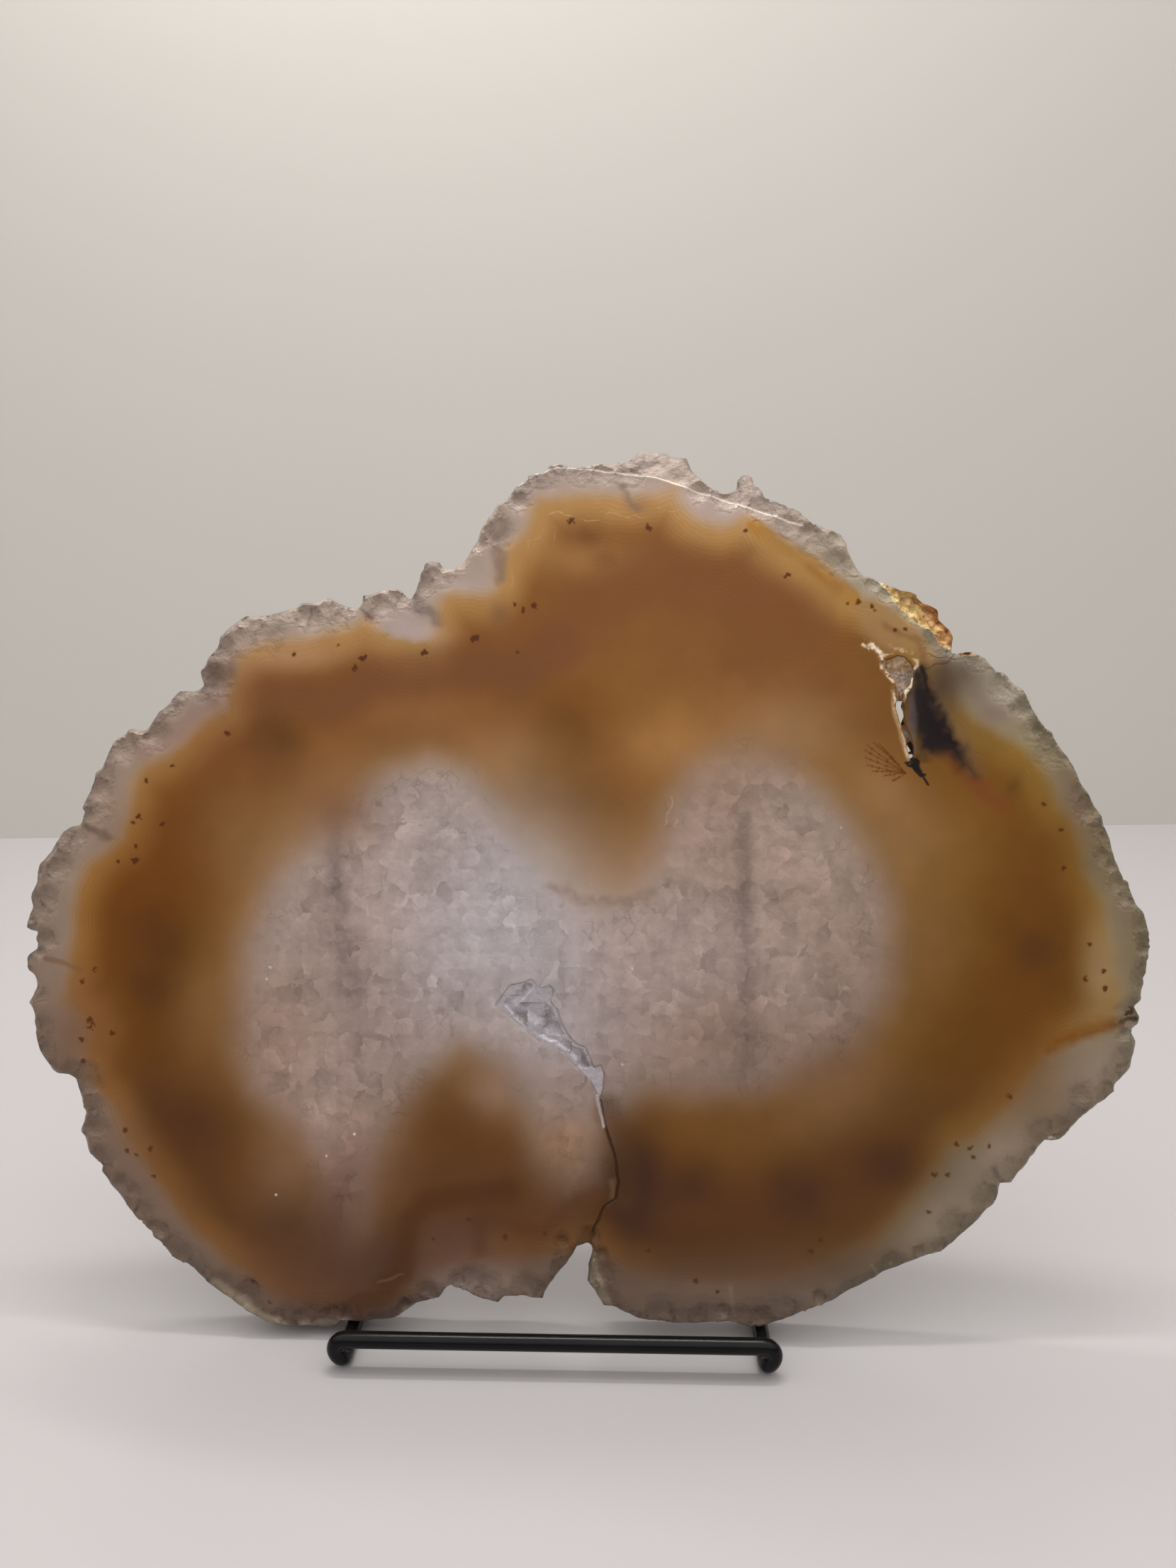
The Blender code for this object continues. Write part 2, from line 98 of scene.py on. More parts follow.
def noise(x: Array, y: Array, size: float, seed: int) -> Array:
    """Soft noise from -1 to 1: hashed lattice values, size apart, blended by 6t^5 - 15t^4 + 10t^3."""
    x, y = x / size, y / size
    left, low = np.floor(x), np.floor(y)
    s, t = x - left, y - low
    s, t = (k * k * k * (k * (6.0 * k - 15.0) + 10.0) for k in (s, t))
    i, j = left.astype(np.int64), low.astype(np.int64)
    bottom = hashed(i, j, seed) * (1 - s) + hashed(i + 1, j, seed) * s
    top = hashed(i, j + 1, seed) * (1 - s) + hashed(i + 1, j + 1, seed) * s
    return 2.0 * (bottom * (1 - t) + top * t) - 1.0


def layered(x: Array, y: Array, size: float, seed: int, layers: int = 3) -> Array:
    """Sum of noises, each half the size and half the height of the one before, scaled to about 1."""
    total = sum(noise(x, y, size / 2**k, seed + 17 * k) / 2**k for k in range(layers))
    return total / (2.0 - 2.0 ** (1 - layers))


def segments(line: Array, closed: bool) -> tuple[Array, Array]:
    """Gives the start points and the end points of a line's segments."""
    return (line, np.roll(line, -1, axis=0)) if closed else (line[:-1], line[1:])


def portions(points: int, others: int) -> list[slice]:
    """Cuts a row of points into slices that are small enough to compare with that many others at once."""
    block = max(1, AT_ONCE // others)
    return [slice(first, first + block) for first in range(0, points, block)]


def line_distance(u: Array, v: Array, line: Drawn, closed: bool = False) -> tuple[Array, Array]:
    """Distance from points to a line of straight segments.

    The foot of each point on a segment is the projection, clamped to the segment's ends.

    Args:
        u, v: the points.
        line: the corners, one a row.
        closed: whether the last corner joins the first.

    Returns:
        The distance to the nearest segment, and how far along the line its foot lies.
    """
    start, end = segments(np.asarray(line, float), closed)
    way = end - start
    length = np.hypot(way[:, 0], way[:, 1])
    before = np.concatenate([[0.0], np.cumsum(length)[:-1]])
    near, along = np.empty(len(u)), np.empty(len(u))
    for part in portions(len(u), len(start)):
        du = u[part, None] - start[:, 0]
        dv = v[part, None] - start[:, 1]
        share = np.clip((du * way[:, 0] + dv * way[:, 1]) / np.maximum(length, 1e-9) ** 2, 0.0, 1.0)
        gap = np.hypot(du - share * way[:, 0], dv - share * way[:, 1])
        best = gap.argmin(axis=1)
        rows = np.arange(len(best))
        near[part] = gap[rows, best]
        along[part] = before[best] + share[rows, best] * length[best]
    return near, along


def inside(u: Array, v: Array, loop: Drawn) -> Array:
    """True where a ray from the point to the right crosses the closed line an odd number of times."""
    start, end = segments(np.asarray(loop, float), True)
    rise = np.where(end[:, 1] == start[:, 1], 1.0, end[:, 1] - start[:, 1])
    odd = np.zeros(len(u), bool)
    for part in portions(len(u), len(start)):
        pu, pv = u[part, None], v[part, None]
        spans = (start[:, 1] > pv) != (end[:, 1] > pv)
        cut = start[:, 0] + (pv - start[:, 1]) / rise * (end[:, 0] - start[:, 0])
        odd[part] = (spans & (pu < cut)).sum(axis=1) % 2 == 1
    return odd


def signed_distance(u: Array, v: Array, loop: Drawn) -> Array:
    """Distance to a closed line, above zero inside it and below zero outside."""
    near, _ = line_distance(u, v, loop, closed=True)
    return np.where(inside(u, v, loop), near, -near)


def box_near(u: Array, v: Array, line: Drawn, reach: float) -> Array:
    """True for points within a drawn line's box, widened by reach."""
    corners = np.asarray(line, float)
    low, high = corners.min(axis=0) - reach, corners.max(axis=0) + reach
    return (u > low[0]) & (u < high[0]) & (v > low[1]) & (v < high[1])


def only_near(u: Array, v: Array, line: Drawn, reach: float, value: Measure) -> Array:
    """Works out a value near a drawn line alone, where it can differ from 0, to save time.

    Args:
        u, v: the points.
        line: the drawn line.
        reach: how far beyond the line's box the value may differ from 0.
        value: gives the value at points.

    Returns:
        The value of each point, 0 beyond the reach.
    """
    near = box_near(u, v, line, reach)
    found = np.zeros(len(u))
    if near.any():
        found[near] = value(u[near], v[near])
    return found


def resampled(line: Drawn, step: float, closed: bool) -> Array:
    """Points an even step apart along a line of straight segments."""
    line = np.asarray(line, float)
    whole = np.vstack([line, line[:1]]) if closed else line
    length = np.concatenate([[0.0], np.cumsum(np.hypot(*np.diff(whole, axis=0).T))])
    count = max(3, int(round(length[-1] / step)))
    places = np.linspace(0.0, length[-1], count, endpoint=not closed)
    return np.column_stack([np.interp(places, length, whole[:, k]) for k in (0, 1)])


def anticlockwise(loop: Array) -> Array:
    """The same closed line with its inside on the left, judged by the sign of its area."""
    after = np.roll(loop, -1, axis=0)
    area = np.sum(loop[:, 0] * after[:, 1] - after[:, 0] * loop[:, 1])
    return loop if area > 0 else loop[::-1]


def shaken(u: Array, v: Array, reach: Array | float, fineness: float, seed: int) -> tuple[Array, Array]:
    """Moves points by up to half of reach each way, by two numbers fixed by their own place."""
    key = (np.round(u * fineness).astype(np.int64), np.round(v * fineness).astype(np.int64))
    return u + reach * (hashed(*key, seed) - 0.5), v + reach * (hashed(*key, seed + 1) - 0.5)


def softened(loop: Array, reach: float, step: float) -> Array:
    """A closed line with evenly spaced points, averaged along itself by a bell of the given reach."""
    count = len(loop)
    turns = np.fft.fftfreq(count, d=step)
    keep = np.exp(-0.5 * (2 * math.pi * turns * reach) ** 2)
    return np.column_stack([np.fft.ifft(np.fft.fft(loop[:, k]) * keep).real for k in (0, 1)])


def outward_normals(loop: Array) -> Array:
    """Unit vectors across a closed line that runs with its inside on the left, pointing out of it."""
    way = np.roll(loop, -1, axis=0) - np.roll(loop, 1, axis=0)
    way /= np.maximum(np.hypot(way[:, 0], way[:, 1]), 1e-9)[:, None]
    return np.column_stack([way[:, 1], -way[:, 0]])


def linear(tone: Sequence[float]) -> Array:
    """Turns a display colour from 0 to 255 into linear light, by the sRGB curve."""
    share = np.asarray(tone, float) / 255.0
    return np.where(share <= 0.04045, share / 12.92, ((share + 0.055) / 1.055) ** 2.4)


def mixed(tone: Array | Tone, other: Array | Tone, weight: Array) -> Array:
    """Blends two colours, each one for all points or one a point: tone (1 - weight) + other weight."""
    tone = np.asarray(tone, float)
    return tone + (np.asarray(other, float) - tone) * weight[:, None]


# ---- where the slice leans ----


@dataclass(frozen=True)
class SlicePlane:
    """The leaning plane of the polished face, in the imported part's own frame."""

    lean: float = math.radians(12.0)
    rest: float = -1.0
    side: float = -4.7327
    front: float = -18.299
    height: float = 3.9
    thickness: float = 9.0

    def place(self, u: Array, v: Array, depth: Array) -> Array:
        """Points in metres: up the leaning face by v, and into the stone, square to it, by depth."""
        up, into = math.cos(self.lean), math.sin(self.lean)
        x = u + self.side
        y = self.front + (v - self.rest) * into + depth * up
        z = self.height + (v - self.rest) * up - depth * into
        return np.column_stack([x, y, z]) * MM


PLANE = SlicePlane()


# ---- the slice's lines, as drawn ----

OUTLINE: Line = (
    (-72.7, 137.8), (-73.8, 135.9), (-74.6, 134.9), (-74.3, 133.1), (-73.9, 131.9), (-75.4, 130.8), (-78.9, 130.8),
    (-80, 129.9), (-81.5, 128), (-83.5, 126.5), (-84.8, 124.5), (-85.9, 122.8), (-87.2, 122.6), (-88.7, 123),
    (-90, 122.7), (-90.5, 121.7), (-92.4, 120.8), (-93.4, 119.3), (-94.6, 116.7), (-95.4, 114.6), (-96.8, 113.7),
    (-97.7, 110.7), (-98.8, 108.1), (-99.8, 106.1), (-99, 105.5), (-100, 102.9), (-102.1, 102.3), (-103.6, 101.4),
    (-104.7, 99.9), (-105.4, 98.6), (-106.1, 97.3), (-107.2, 95.8), (-108.6, 94.7), (-109.3, 92.7), (-109.4, 90.7),
    (-110.1, 89), (-110.7, 87.4), (-110.2, 85.4), (-110.9, 84.2), (-111.7, 82.2), (-111.6, 81), (-110.3, 80.2),
    (-109.2, 80.1), (-109.8, 78.9), (-109.2, 77.7), (-109.5, 76.8), (-110.9, 75.9), (-111.5, 75), (-111.6, 72.7),
    (-109.8, 70.6), (-109.4, 68.9), (-110.2, 67), (-111.2, 65.4), (-110.1, 63), (-109.9, 60.2), (-109.8, 57.8),
    (-109, 55.4), (-107.6, 52.9), (-106.1, 51.1), (-104.9, 50.3), (-102.4, 50.1), (-101.2, 49.5), (-100.6, 47.2),
    (-100.2, 45.5), (-99.8, 43.7), (-99.3, 42), (-99.8, 40), (-100.4, 38.1), (-99.5, 37), (-99.1, 35.3), (-98.2, 33.4),
    (-96.8, 32.1), (-95.6, 31.1), (-95.9, 29.9), (-94.9, 28.7), (-93.6, 26.7), (-91.9, 24.7), (-90.4, 22.5),
    (-88.4, 20.1), (-86.4, 18.6), (-84.9, 16.9), (-83.4, 15.2), (-82, 13.5), (-80.6, 11.6), (-78.5, 10.5), (-76.7, 9.6),
    (-74.5, 7.7), (-73.5, 6.9), (-70.3, 4.4), (-66.3, 1.6), (-63.1, -0.4), (-59.9, -1.9), (-55.7, -2.5), (-50.4, -2.3),
    (-47.2, -2.4), (-44, -1.1), (-40, -1.0), (-35, -0.5), (-32.9, 0.2), (-32.4, 0.6), (-29, 3), (-27.1, 3.4),
    (-24.5, 4.1), (-23.2, 6), (-22.1, 6.8), (-19.2, 5.6), (-15.6, 4), (-12.2, 3.2), (-10.9, 4.6), (-7.2, 4.8),
    (-2.7, 4.2), (-2.4, 5.4), (-1.5, 7.2), (0.2, 9.4), (2.3, 11.7), (4.4, 15.4), (6.5, 16.2), (7.3, 15.3), (6.5, 12),
    (6.4, 8.2), (7.7, 6.1), (9, 4.1), (9.8, 2.8), (11.9, 2.7), (14, 1.6), (16.6, 0.4), (19.7, -0.2), (22.3, 0),
    (25.2, -0.4), (36.4, 0.1), (39.5, -0.9), (42.5, -0.9), (43.7, -0.3), (46.8, 0.6), (49.4, 1.7), (52, 2.8),
    (55.1, 3.9), (57.7, 5.2), (59.8, 6.5), (62.4, 8), (65.3, 9.4), (66.6, 10.4), (70.2, 11.8), (74.9, 13.7),
    (79.5, 15.4), (82, 17.2), (83.7, 18.9), (85.1, 20.2), (86.5, 21.7), (88.3, 23.6), (90.2, 25.3), (91.1, 27.3),
    (91.5, 29.7), (93.8, 29.7), (94.8, 31.1), (95.2, 32.1), (96.4, 33.1), (97.6, 35), (98.4, 36), (99.7, 37.7),
    (100.5, 38.6), (103.6, 38.9), (105, 40.4), (106.7, 42.3), (108.4, 44.1), (110.1, 45.3), (112, 47), (114.4, 49.1),
    (114.3, 50.2), (116, 51.9), (117.6, 54.1), (118.5, 57), (118.9, 58.7), (118.9, 59.7), (118, 61.2), (118.1, 61.8),
    (119.4, 63.1), (119.6, 64.1), (118.4, 66.7), (120, 67.9), (119.8, 69.6), (120.3, 71.3), (120.2, 72.5),
    (120.8, 73.5), (120.8, 75.4), (121.4, 78.3), (121.3, 81.7), (120.5, 84.3), (120, 86), (118.4, 87.7), (117.6, 90.1),
    (116.8, 92.5), (115.9, 92.8), (114.9, 95), (114.2, 96.6), (113.7, 98.5), (113.1, 100.9), (112.2, 102.8),
    (111.7, 103.8), (111.4, 105.7), (109.9, 107.6), (109.2, 109), (108.9, 110.2), (107.2, 112.1), (106.2, 114.3),
    (105.4, 116.2), (104.2, 118.1), (102.5, 120), (101.6, 121.4), (101.1, 122.9), (99.7, 123.8), (98.9, 124.8),
    (98, 126.2), (97, 127.9), (96.3, 129.6), (95.3, 131.3), (93.2, 132.7), (91.2, 134.9), (89.3, 135.5), (88.2, 136.6),
    (87.4, 138), (84.4, 139.3), (82.2, 139), (80.5, 139), (80.8, 139.8), (80.8, 140.8), (81, 141.9), (80.6, 142.8),
    (80, 143.9), (78.8, 145), (77.9, 145.8), (78, 147.2), (77.5, 148), (76.3, 148.5), (74.8, 149), (73.5, 150),
    (73.3, 150.8), (72, 151.4), (70.3, 151.7), (69, 152.3), (67.5, 152.8), (65.3, 153.6), (64.9, 154.1), (62.6, 154.9),
    (61.6, 156.5), (60.7, 158), (60, 159.8), (59.3, 161.7), (58.3, 163.4), (56.4, 164.5), (54.9, 164.6), (53.5, 165.6),
    (52, 166), (50.6, 167.1), (48.7, 168.5), (47.2, 169.3), (45.8, 169.7), (43.9, 170.6), (42.4, 171.1), (41.7, 172.4),
    (40.3, 173.7), (39.9, 175.4), (38.7, 176), (37.4, 175.5), (36.5, 174.4), (36.4, 172.7), (35.6, 172.4),
    (34.2, 171.8), (32.1, 172.7), (30.6, 173.7), (29.4, 174.9), (28, 176.1), (27.3, 176.9), (26.8, 178.1),
    (26.3, 179.3), (23.2, 179.5), (22.2, 180.3), (19.8, 180.5), (17.9, 180.8), (16.2, 180.5), (15.3, 179.6),
    (14.3, 178.6), (12.6, 178.5), (10.7, 177.9), (7.8, 178.1), (4.9, 177.4), (2.5, 177.5), (1.1, 178.1), (-0.3, 178.2),
    (-2.5, 177.7), (-2.7, 176.4), (-4.7, 176.1), (-6.6, 175.7), (-7.3, 174.5), (-9, 173.5), (-10.4, 172.1),
    (-11.4, 170.3), (-13.3, 169.4), (-14.5, 167.5), (-16.5, 164.6), (-17.2, 162.4), (-18.7, 159.8), (-20, 157.7),
    (-22, 156.4), (-23.9, 156.4), (-24.9, 157.7), (-27.1, 158.1), (-28, 157.7), (-28.8, 155.2), (-29.3, 152.8),
    (-30, 150.9), (-30.5, 149.7), (-31.4, 150.4), (-32.7, 151.9), (-34.1, 152.2), (-36.1, 151.9), (-39, 150.9),
    (-40.7, 150.6), (-40.8, 149), (-41.4, 148), (-43.9, 148.5), (-45.8, 149.2), (-47.8, 150.4), (-49.7, 149.4),
    (-53.1, 149.2), (-55.1, 148), (-58, 147.1), (-60.5, 146.7), (-63.4, 146.4), (-65.1, 146.5), (-66.8, 145.3),
    (-68.8, 143.8), (-70.5, 141.9), (-71, 139.9),
)  # fmt: skip

# Where the pinkish rind turns into the amber stone, all the way round.
AMBER_LINE: Line = (
    (-101.7, 72.5), (-102, 75), (-101, 80), (-100.5, 85), (-99.5, 90), (-98.5, 92.5), (-97, 95), (-93, 97.5),
    (-90, 100), (-89, 105), (-88.5, 110), (-88, 112.5), (-86, 115), (-81, 117.5), (-78, 120), (-75.5, 122.5),
    (-73, 125), (-69, 127.5), (-68.5, 130), (-68, 133), (-66, 138), (-62, 140), (-58, 140.5), (-52, 141),
    (-47, 142.5), (-43, 143.5), (-40.5, 145.2), (-38.5, 145.3), (-36, 142.8), (-33, 141), (-30, 140.2), (-27, 140.5),
    (-26, 142.5), (-25, 145), (-24.5, 148), (-23.5, 150), (-22, 150.7), (-18, 150.8), (-15.5, 150.5), (-13.5, 151),
    (-12.5, 153), (-12, 155.5), (-11, 158), (-10, 160), (-8.5, 161.5), (-7, 163), (-6, 165.5), (-5.5, 168), (-4, 170),
    (0, 170.6), (5, 170.8), (10, 170.6), (13, 170.2), (14.5, 169.8), (17, 170.5), (20, 171), (22.5, 172), (24, 172.8),
    (25, 170.8), (26.5, 168), (28, 166.2), (30, 165), (33, 164.5), (35, 165), (37, 166.4), (38.2, 167.2), (39.5, 166),
    (41.5, 163), (43.5, 160.5), (46, 158.5), (50, 156.8), (53, 154.5), (56, 151.5), (58.5, 150), (61, 149.5),
    (66, 148.5), (72, 144), (77, 138), (80, 132), (81, 129.5), (83, 127), (85, 125), (88, 123.5), (91, 121.5),
    (95, 119.5), (97, 117), (99, 114), (101, 110.5), (102, 107.5), (104, 105), (105.5, 102), (106.5, 98), (107, 94),
    (111, 88), (111.5, 85), (112.5, 80), (113, 75), (114, 70), (114.5, 67), (114, 65), (110, 62), (105, 60),
    (100, 57.5), (97, 54.5), (95, 50.5), (93, 47), (91, 44.5), (88, 42), (86, 39.5), (82, 38), (80, 37), (77, 32),
    (74, 27), (70, 22), (66, 18), (60, 15), (50, 11), (40, 9), (30, 8.5), (20, 9.5), (14, 12), (8, 15), (0, 15),
    (-8, 14), (-15, 13), (-24, 11), (-30, 6), (-38, 3), (-45, 2), (-52, 3), (-57, 5), (-61, 7), (-65.5, 10),
    (-68.5, 12), (-72, 15), (-74.5, 17), (-77, 20), (-78.5, 22), (-80.5, 25), (-82, 27), (-84, 30), (-85.5, 32),
    (-88, 35), (-90, 37), (-91, 40), (-92, 42), (-94, 45), (-96, 47), (-98, 50), (-98.5, 55), (-98, 57.5), (-97, 60),
    (-98.5, 62), (-102, 65), (-103, 67), (-102.5, 70),
)  # fmt: skip

# The clear quartz in the middle, with the brown lobe above it and the one below it left out.
QUARTZ_LINE: Line = (
    (-63, 48), (-67, 60), (-65, 78), (-58, 91), (-50, 100), (-41, 108), (-34, 113), (-26, 116), (-18, 113), (-13, 106),
    (-8, 97), (-3, 90.5), (4, 86.5), (12, 86), (17, 89), (21, 97), (23, 107), (28, 116), (37, 120), (47, 117),
    (56, 109), (64, 99), (69, 85), (68, 70), (61, 57), (42, 49), (20, 49), (9, 42), (9, 30), (2, 27), (-5, 33),
    (-6, 45), (-12, 54), (-20, 58), (-28, 50), (-34, 40), (-38, 30), (-40, 19), (-44, 14), (-48, 19), (-50, 30),
    (-56, 42),
)  # fmt: skip

VUG_MOUTH: Line = (
    (67.5, 137.6), (66, 137.3), (65.8, 136.3), (66, 135.3), (66.8, 134.7), (67.5, 134), (68.3, 132.8), (68.7, 131.8),
    (68.7, 130.5), (68.8, 129), (68.5, 127.7), (69, 126), (69.5, 124.5), (70, 122.5), (70.6, 121), (71, 119.5),
    (71.5, 117.5), (71.8, 116.2), (72.3, 116.7), (72.6, 118), (72.6, 119.5), (72.2, 120.9), (71.9, 122), (71.3, 123.3),
    (70.8, 124.5), (70.6, 126.5), (70.5, 128), (70.2, 129), (70.2, 130.2), (70.8, 131), (71.3, 132), (71.9, 132.8),
    (72.3, 133.8), (72.6, 135), (72.2, 136), (71.8, 136.8), (70.5, 138), (69, 138.3),
)  # fmt: skip

UPPER_SLOT: Line = (
    (68.9, 129.0), (70.1, 129.0), (70.1, 127.6), (70.4, 126), (70.35, 125), (70.7, 124.1), (70.0, 124.0),
    (69.6, 124.8), (69.3, 126), (68.75, 127.7),
)  # fmt: skip

LOWER_SLOT: Line = (
    (71.15, 120.3), (71.8, 120.8), (72.1, 120.4), (72.45, 119.5), (72.45, 118.0), (72.2, 117.0), (71.85, 116.6),
    (71.6, 117.8), (71.2, 119.2),
)  # fmt: skip

# Where crystals grow in the vug: above the upper slot, and on the bridge between the slots.
UPPER_DRUSE: Line = (
    (69.0, 129.3), (70.0, 129.3), (70.2, 130.2), (70.8, 131), (71.3, 132), (71.9, 132.8), (72.3, 133.8), (72.6, 135),
    (72.2, 136), (71.8, 136.8), (70.5, 138), (69, 138.3), (67.5, 137.6), (66.2, 137.1), (66.0, 136.3), (66.2, 135.4),
    (66.9, 134.9), (67.7, 134.1), (68.5, 132.9), (68.9, 131.8), (68.9, 130.5),
)  # fmt: skip
BRIDGE_DRUSE: Line = (
    (70.2, 123.8), (70.9, 123.8), (71.2, 123.2), (71.9, 121.9), (72.1, 121.1), (71.2, 120.6), (70.8, 121.0),
    (70.2, 122.5),
)  # fmt: skip

POCKET: Line = (
    (-13, 66), (-10, 70.2), (-7.5, 70.8), (-5.3, 71.6), (-3.4, 69.8), (-1.5, 70.4), (-0.3, 69.3), (-1.2, 67),
    (0.2, 65.3), (1.2, 62.5), (2.5, 60), (4.2, 58.3), (6, 57.6), (7, 55.5), (7.8, 53.5), (9.2, 54), (10, 52),
    (9.8, 49), (9, 46.5), (7.8, 48.5), (6.8, 50.5), (5, 52), (3.5, 53.5), (1.5, 56), (-1, 57.5), (-4, 58.5),
    (-7, 61), (-10, 63.5),
)  # fmt: skip

CRACK: Line = (
    (9, 46.5), (9.3, 45), (9.7, 42.5), (10.5, 40), (11.3, 37.5), (12, 35), (12.4, 33), (12.5, 31), (12.9, 29.5),
    (12.5, 28), (12.3, 26), (11, 25.2), (10, 24.5), (9.4, 23.5), (8.8, 22), (8, 20), (7.6, 18.5), (7, 16.8),
    (6.9, 16.0),
)  # fmt: skip

# Where the polish stops along the top, and beside the ochre crust.
FACET_EDGE: Line = (
    (-14, 166.5), (-8.5, 173), (-4, 175.5), (0, 176.5), (7, 176), (15, 175), (20, 174.2), (25, 172.6), (33, 170),
    (40, 167.8), (50, 164.5), (57.5, 161.5),
)  # fmt: skip
CRUST_EDGE: Line = (
    (81.6, 138.2), (80.3, 139), (79, 139.5), (78, 139.9), (77.3, 140.5), (76.8, 141.5), (76.2, 142.8), (75.3, 143.5),
    (74.5, 143.6), (73.3, 144.3), (72.3, 145.3), (71.5, 146), (70.5, 146.8), (69.5, 147.5), (68.8, 148.3),
    (67.7, 149.5), (67.5, 150.5), (67, 151.3), (66, 152), (65.2, 153), (64.2, 154.4),
)  # fmt: skip


# ---- markings on the polished face ----


@dataclass(frozen=True)
class Patch:
    """A soft oval of one tone that fades like a bell, turned by an angle in degrees."""

    at: Point
    size: Point
    tone: Tone
    strength: float
    turn: float = 0.0

    def weight(self, u: Array, v: Array) -> Array:
        """How much of the patch shows: strength times exp(-r^2 / 2), with r in oval radii."""
        c, s = math.cos(math.radians(self.turn)), math.sin(math.radians(self.turn))
        du, dv = u - self.at[0], v - self.at[1]
        across, up = (du * c + dv * s) / self.size[0], (dv * c - du * s) / self.size[1]
        return self.strength * np.exp(-0.5 * (across**2 + up**2))


@dataclass(frozen=True)
class Stroke:
    """A drawn line of one tone. It fades over its edge, strays by wander, and shows in bits if broken."""

    line: Drawn
    width: float
    tone: Tone
    strength: float
    edge: float
    wander: float = 0.0
    broken: float = 0.0

    def weight(self, u: Array, v: Array) -> Array:
        """How much of the line shows: full within the width, none beyond width plus edge."""
        return only_near(u, v, self.line, self.width + self.edge + 1.0, self.shown)

    def shown(self, u: Array, v: Array) -> Array:
        """The weight close by: strength, less the missing bits, faded by the distance to the line."""
        shift = self.wander * noise(u, v, 1.3, 5)
        gap, _ = line_distance(u + shift, v - shift, self.line)
        bits = 1.0 - self.broken * smooth(layered(u, v, 1.0, 6), 0.25, -0.25)
        return self.strength * bits * (1.0 - smooth(gap, self.width, self.width + self.edge))


@dataclass(frozen=True)
class Area:
    """A closed drawn shape of one tone; its edge fades from inner millimetres inside to outer outside."""

    loop: Line
    tone: Tone
    strength: float
    inner: float
    outer: float
    wander: float = 0.0

    def weight(self, u: Array, v: Array) -> Array:
        """How much of the shape shows: full inside the inner line, none outside the outer one."""
        return only_near(u, v, self.loop, self.outer + self.wander + 0.5, self.shown)

    def shown(self, u: Array, v: Array) -> Array:
        """The weight close by: strength, faded by the distance to the shape's line, which strays by wander."""
        shift = self.wander * layered(u, v, 2.2, 31)
        return self.strength * smooth(signed_distance(u, v, self.loop) + shift, -self.outer, self.inner)


@dataclass(frozen=True)
class ToneAndLightFade:
    """A tone that changes up the slice, low at low_at, middle at middle_at, high at high_at: partly the stone's own,
    partly painted light from above.
    """

    low: Tone
    middle: Tone
    high: Tone
    low_at: float
    middle_at: float
    high_at: float

    def colour(self, v: Array) -> Array:
        """Display colours for heights v, by straight steps between the three tones."""
        stops = (self.low_at, self.middle_at, self.high_at)
        tones = np.array([self.low, self.middle, self.high], float)
        return np.column_stack([np.interp(v, stops, tones[:, k]) for k in range(3)])
